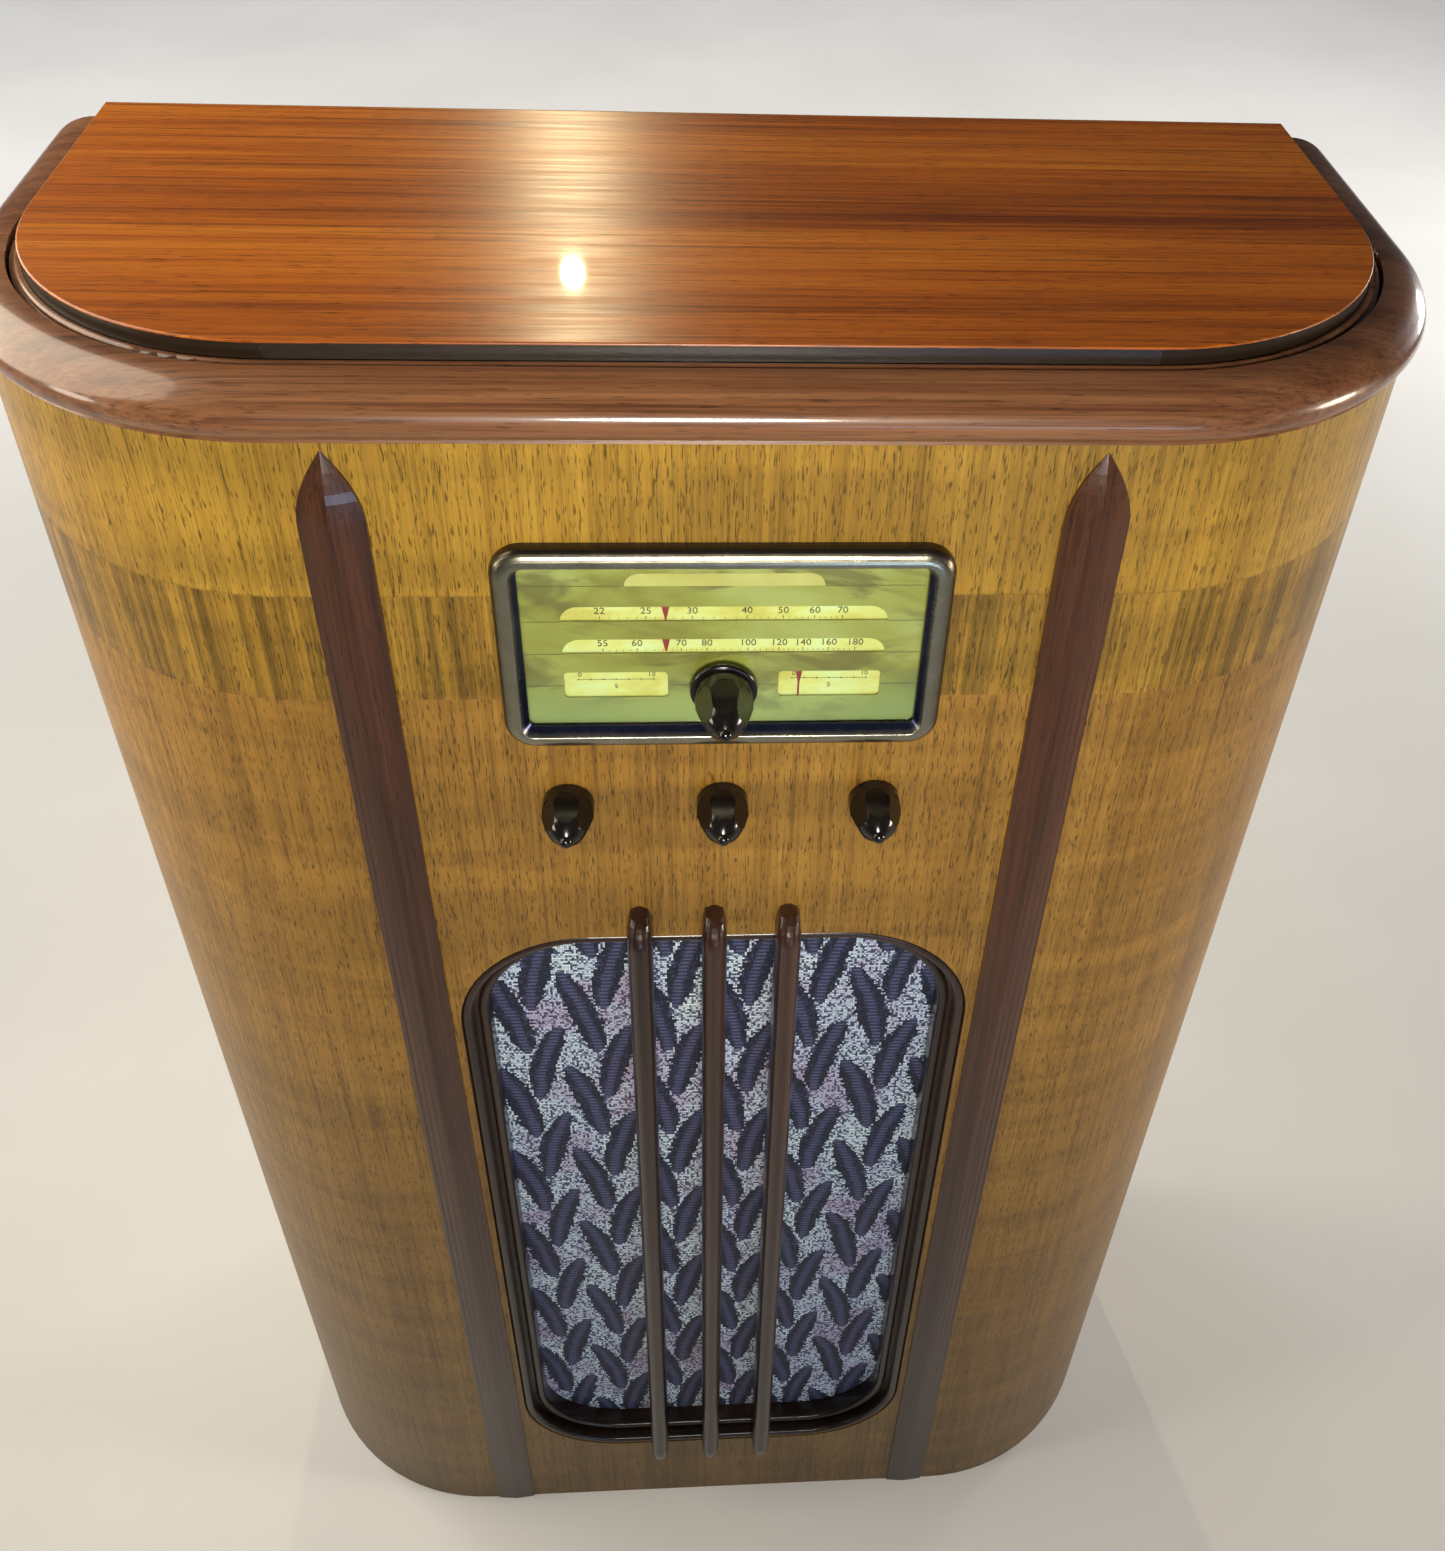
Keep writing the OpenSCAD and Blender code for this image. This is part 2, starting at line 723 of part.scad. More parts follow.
module control_shaft(x, drum) {
    color("silver") {
        rod_y(x, control_z, front_y - 14.5, chassis_y0 + 8, shaft_r);
        if (drum) turned_y(x, control_z) groove_profile(low_path_r, 5, low_cord_y, shaft_r - 1);
    }
}

module volume_shaft() {
    control_shaft(control_x(-1), true);
}

module band_shaft() {
    control_shaft(control_x(0), false);
}

module tone_shaft() {
    control_shaft(control_x(1), true);
}

module idler(p) {
    color("wheat") turned_y(p[0], p[1]) groove_profile(idler_path_r, 6, cord_y, 2 + fit);
}

module idler_left() {
    idler(idler_left_c);
}

module idler_right() {
    idler(idler_right_c);
}

module dial_drum() {
    color("lightgray") difference() {
        union() {
            turned_y(drum_c[0], drum_c[1]) groove_profile(drum_path_r, 7, cord_y, 30);
            rod_y(drum_c[0], drum_c[1], cord_y - 0.6, cord_y + 0.6, 31);
            rod_y(drum_c[0], drum_c[1], cord_y - 4, cord_y + 5, 7);
        }
        rod_y(drum_c[0], drum_c[1], cord_y - 6, cord_y + 8, shaft_r + seat_fit);
        for (a = [0 : 90 : 270])
            rod_y(drum_c[0] + 19 * cos(a), drum_c[1] + 19 * sin(a), cord_y - 2, cord_y + 2, 8);
    }
}

// a cord passes clockwise round discs in one plane and leaves each along a tangent
function left_normal(a, ra, b, rb) =
    let (d = b - a) atan2(d[1], d[0]) + acos((ra - rb) / norm(d));

function on_disc(c, r, ang) = [c[0] + r * cos(ang), c[1] + r * sin(ang)];

// points of the loop: a few along each bend, the straight runs join them
function bend_points(c, r, from, turn, n) =
    [for (k = [0 : n]) concat(on_disc(c, r, from - turn * k / n), [from - turn * k / n])];

function loop_points(discs, n) =
    let (m = len(discs),
         normals = [for (i = [0 : m - 1])
             left_normal(discs[i][0], discs[i][1], discs[(i + 1) % m][0], discs[(i + 1) % m][1])])
    [for (i = [0 : m - 1]) let (j = (i + 1) % m, turn = normals[i] - normals[j])
        each bend_points(discs[j][0], discs[j][1], normals[i], turn - 360 * floor(turn / 360), n[j])];

// one closed tube round the discs, in the plane at depth y
module cord_loop(discs, n, y) {
    sides = 8;
    route = loop_points(discs, n);
    m = len(route);
    pts = [for (p = route) for (k = [0 : sides - 1])
        let (a = 360 * k / sides)
        [p[0] + cord_r * cos(a) * cos(p[2]), y + cord_r * sin(a), p[1] + cord_r * cos(a) * sin(p[2])]];
    skin = [for (i = [0 : m - 1]) for (k = [0 : sides - 1])
        let (i2 = (i + 1) % m, k2 = (k + 1) % sides)
        [i * sides + k, i * sides + k2, i2 * sides + k2, i2 * sides + k]];
    polyhedron(pts, skin);
}

module dial_cord() {
    color("ivory") cord_loop([[bush_c, bush_path_r], [idler_left_c, idler_path_r],
                              [idler_right_c, idler_path_r], [drum_c, drum_path_r]], [8, 8, 8, 20], cord_y);
}

module control_cords() {
    g = guides();
    color("ivory") {
        for (i = [0, 1])
            cord_loop([[[control_x(2 * i - 1), control_z], low_path_r], [g[2 * i], guide_path_r],
                       [g[2 * i + 1], guide_path_r]], [10, 8, 8], low_cord_y);
    }
}

// ---------- knobs ----------

// bullet knob: straight skirt, pointed dome with a round tip, six long flats
module bullet(x, z, base_y, r, length) {
    skirt = length * 0.3;
    tip_r = 2.6;
    reach = length - skirt - tip_r;
    arc_r = (pow(r - tip_r, 2) + pow(reach, 2)) / (2 * (r - tip_r));
    tilt = 14;
    difference() {
        turned_y(x, z) translate([0, -base_y]) {
            intersection() {
                translate([r - arc_r, skirt]) circle(r = arc_r, $fn = 128);
                square([r, length - tip_r]);
            }
            square([r, skirt]);
            intersection() {
                translate([0, length - tip_r * 1.25]) circle(r = tip_r * 1.25);
                square([r, length]);
            }
        }
        rod_y(x, z, base_y - 14, base_y + 1, shaft_r + seat_fit);
        for (a = [0 : 60 : 300]) translate([x, base_y - skirt * 0.6, z]) rotate([0, a, 0])
            translate([0, 0, r - 0.35]) rotate([tilt, 0, 0]) translate([-r, -length * 1.2, 0])
                cube([2 * r, length * 1.2, r]);
    }
}

module tuning_knob() {
    base_y = glass_front - 1.2;
    color("black") {
        difference() {
            turned_y(bush_c[0], bush_c[1]) {
                translate([0, -base_y]) square([13.3, 3]);
                translate([13.3, -base_y + 1.5]) circle(r = 1.5);
            }
            rod_y(bush_c[0], bush_c[1], base_y - 14, base_y + 1, shaft_r + seat_fit);
        }
        bullet(bush_c[0], bush_c[1], base_y - 2.8, 12.6, 30.5);
    }
}

module control_knob(x) {
    color("black") bullet(x, control_z, front_y - 1, knob_r, knob_len);
}

module volume_knob() {
    control_knob(control_x(-1));
}

module band_knob() {
    control_knob(control_x(0));
}

module tone_knob() {
    control_knob(control_x(1));
}

// ---------- chassis ----------

module potentiometers() {
    y0 = chassis_y0 + steel_t;
    color("dimgray") for (s = [-1, 1]) difference() {
        union() {
            rod_y(control_x(s), control_z, y0, y0 + 16, pot_r);
            translate([control_x(s) - 9, y0 + 2, control_z - 21]) cube([18, 1.6, 12]);
        }
        rod_y(control_x(s), control_z, y0 - 1, y0 + 10, shaft_r + 0.5);
    }
}

module band_switch() {
    y0 = chassis_y0 + steel_t;
    color("chocolate") difference() {
        union() {
            for (k = [0 : 2]) rod_y(dial_x, control_z, y0 + 2 + 14 * k, y0 + 4 + 14 * k, 19);
            for (s = [-1, 1]) rod_y(dial_x + s * 14, control_z, y0, y0 + 34, 1.6);
        }
        rod_y(dial_x, control_z, y0 - 1, y0 + 10, shaft_r + 0.5);
    }
}

// open-bottomed steel pan with a turned-in foot front and back
module chassis_pan() {
    foot = 16;
    color("silver") difference() {
        translate([-chassis_hw, chassis_y0, chassis_z]) cube([2 * chassis_hw, chassis_d, chassis_h]);
        translate([-chassis_hw + steel_t, chassis_y0 + steel_t, chassis_z + steel_t])
            cube([2 * (chassis_hw - steel_t), chassis_d - 2 * steel_t, chassis_h - 2 * steel_t]);
        translate([-chassis_hw + foot, chassis_y0 + foot, chassis_z - 1])
            cube([2 * (chassis_hw - foot), chassis_d - 2 * foot, steel_t + 2]);
        for (i = [-1 : 1])
            rod_y(control_x(i), control_z, chassis_y0 - 1, chassis_y0 + 3, bushing_r + seat_fit);
        for (p = concat(tube_spots, bottle_spots))
            translate([p[0], p[1], chassis_top - 5]) cylinder(r = 13, h = 10);
        for (p = bolt_spots) translate([p[0], p[1], chassis_z - 1]) cylinder(r = 3.3, h = 4);
        rod_y(-150, chassis_z + 30, chassis_y0 + chassis_d - 3, chassis_y0 + chassis_d + 1, 6);
    }
}

module chassis_bolts() {
    top = chassis_z + steel_t + gap;
    color("silver") for (p = bolt_spots) translate([p[0], p[1], 0]) {
        translate([0, 0, chassis_z - shelf_t - 4.5]) cylinder(r = 5.5, h = 4.5, $fn = 6);
        translate([0, 0, chassis_z - shelf_t - 1]) cylinder(r = 3, h = top - chassis_z + shelf_t + 7);
        translate([0, 0, chassis_z + steel_t]) cylinder(r = 5, h = 3.5, $fn = 6);
    }
}

module power_transformer() {
    base = [-185, 12, chassis_top];
    core = [76, 70, 30];
    color("dimgray") translate(base) {
        translate([0, 0, 22]) cube(core);
        translate([8, 8, 0]) cube([60, 54, 22]);
        translate([8, 8, 52]) cube([60, 54, 20]);
    }
    color("silver") translate(base) for (x = [5, 71]) for (y = [5, 65])
        translate([x, y, 0]) cylinder(r = 2.2, h = 58);
}

module tube_sockets() {
    color("black") for (p = concat(tube_spots, bottle_spots)) translate([p[0], p[1], chassis_top - 9]) {
        cylinder(r = 12.8, h = 9);
        translate([0, 0, 9]) cylinder(r = 17, h = 2);
    }
}

module metal_tubes() {
    seat = chassis_top + 2;
    color("slategray") for (p = tube_spots) translate([p[0], p[1], seat]) rotate_extrude() {
        square([16.5, 6]);
        square([13, 54]);
        translate([0, 6]) square([15.5, 3]);
        translate([0, 54]) square([9, 4]);
        translate([9, 54]) intersection() {
            circle(r = 4);
            square([4, 4]);
        }
    }
}

// shouldered glass bottles on black bases
module glass_tubes() {
    seat = chassis_top + 2;
    neck_z = 62;
    for (p = bottle_spots) translate([p[0], p[1], seat]) {
        color("black") cylinder(r = 17, h = 28);
        color("white", 0.4) rotate_extrude() {
            translate([0, 28]) square([15, 16]);
            translate([0, 44]) intersection() {
                translate([0, 12]) circle(r = 24);
                translate([0, -6]) square([24, 34]);
            }
            translate([0, neck_z]) square([13, 34]);
            translate([0, neck_z + 34]) intersection() {
                circle(r = 13);
                square([13, 13]);
            }
        }
    }
}

module coil_cans() {
    spots = [[-88, -18], [120, 50], [165, 50]];
    side = 35;
    color("silver") for (p = spots) translate([p[0], p[1], chassis_top]) {
        linear_extrude(72) rounded(side / 2, side / 2, 4);
        translate([0, 0, 72]) cylinder(r = 5, h = 3);
    }
}

module filter_capacitors() {
    color("lightsteelblue") for (x = [-172, -132]) translate([x, -32, chassis_top]) {
        cylinder(r = 17.5, h = 92);
        cylinder(r = 19, h = 4);
    }
}

module capacitor_frame() {
    w = 54;
    y0 = -84;
    l = 78;
    z0 = chassis_top;
    top = 900;
    color("silver") difference() {
        union() {
            translate([drum_c[0] - w / 2, y0, z0]) cube([w, l, 2]);
            for (y = [y0, y0 + l / 2 - 1, y0 + l - 2])
                translate([drum_c[0] - w / 2, y, z0]) cube([w, 2, top - z0]);
        }
        rod_y(drum_c[0], drum_c[1], y0 - 1, y0 + l - 5, shaft_r + fit);
        rod_y(drum_c[0], drum_c[1], y0 + l - 5, y0 + l + 1, shaft_r + fit);
    }
}

plate_ys = [for (g = [0, 1]) for (k = [0 : 4]) -77 + 38 * g + 6.4 * k];

module capacitor_rotor() {
    color("lightgray") {
        rod_y(drum_c[0], drum_c[1], cord_y - 5, -4, shaft_r);
        for (y = plate_ys) intersection() {
            rod_y(drum_c[0], drum_c[1], y, y + 1, 22);
            translate([drum_c[0], 0, drum_c[1]]) rotate([0, -35, 0])
                translate([-30, -120, -2]) cube([60, 140, 40]);
        }
    }
}

// fixed plates on two posts at the left of each gang
module capacitor_stator() {
    color("gainsboro") {
        for (y = plate_ys) intersection() {
            difference() {
                rod_y(drum_c[0], drum_c[1], y + 3.2, y + 4.2, 26);
                rod_y(drum_c[0], drum_c[1], y + 2, y + 5, 6);
            }
            translate([drum_c[0] - 26, -120, drum_c[1] - 30]) cube([22, 140, 60]);
        }
        for (g = [0, 1]) translate([drum_c[0] - 25, -82 + 38 * g, drum_c[1] - 4]) cube([1.5, 36, 8]);
    }
}

module dial_lamps() {
    color("lightyellow") for (p = [[-62, 862], [45, 866]]) {
        translate([p[0], front_y + 12, p[1]]) sphere(r = 5.5);
        rod_y(p[0], p[1], front_y + 16, front_y + 24, 4.6);
        rod_y(p[0], p[1], front_y + 24, bracket_y, 5.6);
    }
}

// ---------- leads and rear fittings ----------

lead_points = [[22, -10, 497], [36, -10, 497], [64, 8, 502], [110, 66, 560], [148, 110, 660],
               [152, 123, 725], [150, 121, 750], [150, 113, 758], [150, 104.3, 758]];

function spline(p, t) =
    let (n = len(p) - 1, i = min(floor(t), n - 1), u = t - i,
         a = p[max(i - 1, 0)], b = p[i], c = p[i + 1], d = p[min(i + 2, n)])
    0.5 * ((2 * b) + (c - a) * u + (2 * a - 5 * b + 4 * c - d) * u * u + (3 * b - a - 3 * c + d) * u * u * u);

function unit(v) = v / norm(v);

module tube_along(points, r, rings) {
    sides = 8;
    n = len(points) - 1;
    path = [for (i = [0 : rings]) spline(points, n * i / rings)];
    tang = [for (i = [0 : rings]) unit(path[min(i + 1, rings)] - path[max(i - 1, 0)])];
    across = [for (t = tang) unit(cross(t, [1, 0.2, 0]))];
    pts = [for (i = [0 : rings]) for (k = [0 : sides - 1])
        let (b = cross(tang[i], across[i]), a = 360 * k / sides)
        path[i] + r * (cos(a) * across[i] + sin(a) * b)];
    skin = [for (i = [0 : rings - 1]) for (k = [0 : sides - 1])
        let (p = i * sides + k, q = i * sides + (k + 1) % sides) [p, q, q + sides, p + sides]];
    start = [for (k = [sides - 1 : -1 : 0]) k];
    finish = [for (k = [0 : sides - 1]) rings * sides + k];
    polyhedron(pts, concat(skin, [start, finish]));
}

module speaker_lead() {
    color("saddlebrown") tube_along(lead_points, 3, 40);
}

// aerial and earth strip, speaker socket and the empty grommet of the mains inlet
module rear_terminals() {
    y = chassis_y0 + chassis_d;
    z = chassis_z + 30;
    color("chocolate") {
        translate([20, y, z - 9]) cube([70, 3, 18]);
        for (k = [0 : 2]) rod_y(35 + 20 * k, z, y + 3, y + 8, 3);
    }
    color("black") {
        difference() {
            union() {
                rod_y(-150, z, y - steel_t, y, 6);
                rod_y(-150, z, y, y + 2.5, 9);
            }
            rod_y(-150, z, y - 3, y + 4, 3.4);
        }
        difference() {
            rod_y(150, z, y, y + 4, 15);
            rod_y(150, z, y + 2, y + 5, 4);
        }
    }
}

cabinet_wrap();
bottom_board();
corner_blocks();
chassis_shelf();
cap_moulding();
top_panel();
left_pilaster();
right_pilaster();
grille_moulding();
grille_bar_left();
grille_bar_centre();
grille_bar_right();
baffle_battens();
speaker_baffle();
grille_cloth();
dial_escutcheon();
dial_glass();
dial_mask();
dial_scale();
tuning_pointer();
volume_pointer();
tone_pointer();
pointer_rails();
dial_bracket();
shaft_bushings();
tuning_shaft();
tuning_knob();
volume_knob();
band_knob();
tone_knob();
volume_shaft();
band_shaft();
tone_shaft();
potentiometers();
band_switch();
idler_left();
idler_right();
dial_cord();
control_cords();
dial_drum();
capacitor_rotor();
capacitor_stator();
capacitor_frame();
dial_lamps();
chassis_pan();
chassis_bolts();
power_transformer();
tube_sockets();
metal_tubes();
glass_tubes();
coil_cans();
filter_capacitors();
speaker_basket();
speaker_cone();
field_magnet();
output_transformer();
speaker_bolts();
speaker_lead();
rear_terminals();
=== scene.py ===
"""Floor-standing console radio: finishes, grille cloth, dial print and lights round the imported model."""

import math

import bmesh
import bpy
from mathutils import Matrix, Vector


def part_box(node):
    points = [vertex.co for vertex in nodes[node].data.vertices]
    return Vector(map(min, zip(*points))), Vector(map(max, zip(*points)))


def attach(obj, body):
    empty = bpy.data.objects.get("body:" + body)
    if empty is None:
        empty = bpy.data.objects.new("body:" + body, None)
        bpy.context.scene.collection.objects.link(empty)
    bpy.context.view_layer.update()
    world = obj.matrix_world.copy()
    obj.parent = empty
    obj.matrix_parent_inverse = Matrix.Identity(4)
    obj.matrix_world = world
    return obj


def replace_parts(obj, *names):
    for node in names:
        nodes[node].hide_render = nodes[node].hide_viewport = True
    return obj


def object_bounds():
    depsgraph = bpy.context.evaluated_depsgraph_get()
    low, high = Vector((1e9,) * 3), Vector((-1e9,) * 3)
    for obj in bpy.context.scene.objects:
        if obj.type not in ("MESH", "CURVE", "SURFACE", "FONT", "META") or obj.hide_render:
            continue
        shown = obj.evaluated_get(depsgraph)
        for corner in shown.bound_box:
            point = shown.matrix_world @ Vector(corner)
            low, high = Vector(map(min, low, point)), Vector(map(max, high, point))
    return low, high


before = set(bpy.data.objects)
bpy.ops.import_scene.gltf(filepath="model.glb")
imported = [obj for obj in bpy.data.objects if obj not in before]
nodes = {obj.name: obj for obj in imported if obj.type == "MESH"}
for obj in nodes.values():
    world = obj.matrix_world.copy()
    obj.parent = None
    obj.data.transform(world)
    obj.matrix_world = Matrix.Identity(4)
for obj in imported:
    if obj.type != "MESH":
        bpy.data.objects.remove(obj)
cad_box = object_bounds()
MM = 0.001


# ---------- material graphs ----------


class Graph:
    """A material's node tree, put together with short calls."""

    def __init__(self, name):
        self.mat = bpy.data.materials.new(name)
        self.mat.use_nodes = True
        self.tree = self.mat.node_tree
        self.shader = next(n for n in self.tree.nodes if n.type == "BSDF_PRINCIPLED")

    def put(self, socket, value):
        """Links an output to the socket, or sets a constant on it."""
        if isinstance(value, bpy.types.NodeSocket):
            self.tree.links.new(value, socket)
        elif hasattr(value, "__len__") and len(value) == 3 and len(socket.default_value) == 4:
            socket.default_value = (*value, 1.0)
        else:
            socket.default_value = value

    def add(self, kind, inputs=None, **settings):
        """A new shader node, with its settings made before its inputs are put."""
        node = self.tree.nodes.new("ShaderNode" + kind)
        for key, value in settings.items():
            setattr(node, key, value)
        for key, value in (inputs or {}).items():
            self.put(node.inputs[key], value)
        return node

    def place(self):
        """Object coordinates, which are metres in the CAD frame."""
        return self.add("TexCoord").outputs["Object"]

    def mapped(self, where, scale=(1, 1, 1), location=(0, 0, 0), rotation=(0, 0, 0)):
        settings = {"Vector": where, "Scale": scale, "Location": location, "Rotation": rotation}
        return self.add("Mapping", settings).outputs[0]

    def noise(self, where, scale, detail=3.0, rough=0.5, distort=0.0):
        inputs = {"Vector": where, "Scale": scale, "Detail": detail, "Roughness": rough,
                  "Distortion": distort}
        return self.add("TexNoise", inputs).outputs["Fac"]

    def math(self, operation, a, b=0.0, c=0.0):
        node = self.add("Math", operation=operation)
        for socket, value in zip(node.inputs, (a, b, c)):
            self.put(socket, value)
        return node.outputs[0]

    def plus(self, a, b):
        return self.math("ADD", a, b)

    def minus(self, a, b):
        return self.math("SUBTRACT", a, b)

    def times(self, a, b):
        return self.math("MULTIPLY", a, b)

    def hypot(self, a, b):
        return self.math("SQRT", self.plus(self.times(a, a), self.times(b, b)))

    def ramp(self, fac, *stops, steps=False):
        """A colour or grey for each place along fac; with steps, each stop's colour holds up to the next."""
        node = self.add("ValToRGB", {"Fac": fac})
        line = node.color_ramp
        if steps:
            line.interpolation = "CONSTANT"
        while len(line.elements) < len(stops):
            line.elements.new(0.5)
        for element, (at, colour) in zip(line.elements, stops):
            element.position = at
            shade = (colour,) * 3 if isinstance(colour, (int, float)) else colour
            element.color = (*shade, 1.0)
        return node.outputs["Color"]

    def mix(self, fac, a, b, blend="MIX"):
        """Colour a, with b over it by fac."""
        node = self.add("Mix", data_type="RGBA", blend_type=blend)
        self.put(node.inputs[0], fac)
        self.put(node.inputs[6], a)
        self.put(node.inputs[7], b)
        return node.outputs[2]

    def bump(self, height, depth, strength=1.0):
        inputs = {"Height": height, "Distance": depth, "Strength": strength}
        return self.add("Bump", inputs).outputs["Normal"]

    def axes(self, where):
        split = self.add("SeparateXYZ", {"Vector": where})
        return split.outputs[0], split.outputs[1], split.outputs[2]

    def finish(self, **sockets):
        """Sets or links the shader's sockets, named with _ for a space, and gives the material."""
        for key, value in sockets.items():
            self.put(self.shader.inputs[key.replace("_", " ")], value)
        return self.mat


def srgb(r, g, b):
    """A colour named by its 0-255 screen values, as the linear values that shaders take."""
    def line(c):
        c /= 255
        return c / 12.92 if c <= 0.04045 else ((c + 0.055) / 1.055) ** 2.4
    return (line(r), line(g), line(b))


def stretched(grain, across, along):
    """Scale per axis for a texture drawn out along the grain axis."""
    return tuple(along if axis == grain else across for axis in "xyz")


def wood(name, dark, mid, light, grain="z", pore=0.5, figure=0.0, gloss=0.16, coat=0.7, body=0.42,
         where=None, foot=1.0, lines=0.5, spread=0.16, pore_size=(1300, 90), pore_share=0.29):
    """Lacquered wood with its fibres along the grain axis: the graph, and the colour that it gives.

    pore, figure and lines say how strongly pores, cross ripple and dark fibres show. body is the roughness
    of the wood, and gloss that of its coat. A painted shade darkens it towards the foot, down to the
    fraction foot of its colour."""
    g = Graph(name)
    where = where(g) if where else g.place()
    broad = g.noise(g.mapped(where, stretched(grain, 16, 0.7)), 1.0, 4, 0.6, 0.5)
    streak = g.noise(g.mapped(where, stretched(grain, 150, 2.4)), 1.0, 5, 0.7, 0.2)
    fibre = g.noise(g.mapped(where, stretched(grain, 700, 14)), 1.0, 3, 0.65)
    dash = g.noise(g.mapped(where, stretched(grain, *pore_size)), 1.0, 1, 0.5)
    base = g.ramp(g.mix(0.5, broad, streak), (0.5 - spread, dark), (0.5, mid), (0.5 + spread, light))
    grain_line = g.ramp(fibre, (0.32, 0.58), (0.52, 1.0), (0.78, 1.14))
    colour = g.mix(0.85, base, grain_line, "MULTIPLY")
    pores = g.ramp(dash, (pore_share, 0.15), (pore_share + 0.08, 1.0))
    colour = g.mix(pore, colour, pores, "MULTIPLY")
    hair = g.noise(g.mapped(where, stretched(grain, 380, 3.2), (5, 3, 1)), 1.0, 2, 0.6)
    colour = g.mix(lines, colour, g.ramp(hair, (0.34, 0.42), (0.42, 1.0)), "MULTIPLY")
    # Painted shade: the colour darkens towards the floor, down to the fraction foot at the bottom.
    if foot < 1.0:
        height = g.axes(g.place())[2]
        colour = g.mix(1.0, colour, g.ramp(height, (0.0, foot), (0.62, 1.0)), "MULTIPLY")
    if figure:
        ripple = g.noise(g.mapped(where, stretched(grain, 6, 44)), 1.0, 2, 0.5, 0.7)
        colour = g.mix(figure, colour, g.ramp(ripple, (0.38, 0.74), (0.62, 1.22)), "MULTIPLY")
    wear = g.noise(where, 7.0, 5, 0.6)
    rough = g.ramp(g.mix(0.5, wear, fibre), (0.3, body * 0.8), (0.7, body * 1.25))
    normal = g.bump(g.mix(0.5, fibre, dash), 0.00012, 0.3)
    g.finish(Base_Color=colour, Roughness=rough, Normal=normal, Coat_Weight=coat)
    g.put(g.shader.inputs["Coat Roughness"], gloss)
    return g, colour


# Heights of the two seams between the tiers of veneer.
SEAMS = (0.830, 0.886)


def sheets(g):
    """Object coordinates that jump at each seam, so that every veneer sheet has its own grain."""
    where = g.place()
    height = g.axes(where)[2]
    sheet = g.plus(g.math("GREATER_THAN", height, SEAMS[0]), g.math("GREATER_THAN", height, SEAMS[1]))
    shift = g.add("CombineXYZ", {"X": g.times(sheet, 3.7), "Y": g.times(sheet, 1.3)})
    return g.add("VectorMath", {0: where, 1: shift.outputs[0]}, operation="ADD").outputs[0]


def shell_depth(g):
    """How far a point lies inside the outer face of the bent shell, in metres."""
    low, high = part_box("cabinet_wrap")
    bend_centre_y = 0.012
    radius = bend_centre_y - low[1]
    x, y, _ = g.axes(g.place())
    across = g.math("MAXIMUM", g.minus(g.math("ABSOLUTE", x), high[0] - radius), 0.0)
    ahead = g.math("MAXIMUM", g.minus(low[1] + radius, y), 0.0)
    return g.minus(radius, g.hypot(across, ahead))


def cabinet_skin():
    """Golden walnut veneer in three tiers, the middle one striped, over bare ply that shows on cut edges."""
    veneer_depth, ply_layer = 0.0006, 0.004
    # foot=0.50 paints shade on the veneer towards the floor.
    g, colour = wood("cabinet_walnut", srgb(118, 84, 36), srgb(158, 118, 52), srgb(184, 144, 72), pore=0.75,
                     figure=0.5, gloss=0.24, coat=0.10, where=sheets, foot=0.50, lines=0.35,
                     spread=0.26, pore_size=(1450, 150), pore_share=0.32)
    height = g.axes(g.place())[2]
    tiers = ((0.0, srgb(232, 226, 202)), (SEAMS[0], srgb(222, 224, 176)), (SEAMS[1], srgb(246, 250, 196)))
    colour = g.mix(1.0, colour, g.ramp(height, *tiers, steps=True), "MULTIPLY")
    ribbon = g.noise(g.mapped(g.place(), (170, 170, 1.5), (2, 5, 0)), 1.0, 3, 0.7)
    striped = g.times(g.math("GREATER_THAN", height, SEAMS[0]), g.math("LESS_THAN", height, SEAMS[1]))
    stripes = g.ramp(ribbon, (0.40, 0.50), (0.56, 1.18))
    colour = g.mix(g.times(striped, 0.8), colour, stripes, "MULTIPLY")
    depth = shell_depth(g)
    layer = g.math("FRACT", g.times(depth, 1 / ply_layer))
    fibre = g.noise(g.mapped(g.place(), (500, 500, 12)), 1.0, 3, 0.6)
    stain = g.noise(g.place(), 8.0, 5, 0.6)
    ply = g.ramp(g.mix(0.4, stain, fibre), (0.35, srgb(104, 78, 48)), (0.55, srgb(140, 108, 70)),
                 (0.7, srgb(166, 134, 92)))
    ply = g.mix(1.0, ply, g.ramp(layer, (0.0, 1.0), (0.5, 0.62), steps=True), "MULTIPLY")
    inner = g.math("GREATER_THAN", depth, veneer_depth)
    colour = g.mix(inner, colour, ply)
    return g.finish(Base_Color=colour, Roughness=g.mix(inner, (0.42, 0.42, 0.42), (0.8, 0.8, 0.8)),
                    Coat_Weight=g.minus(0.12, g.times(inner, 0.12)), Specular_IOR_Level=0.3)


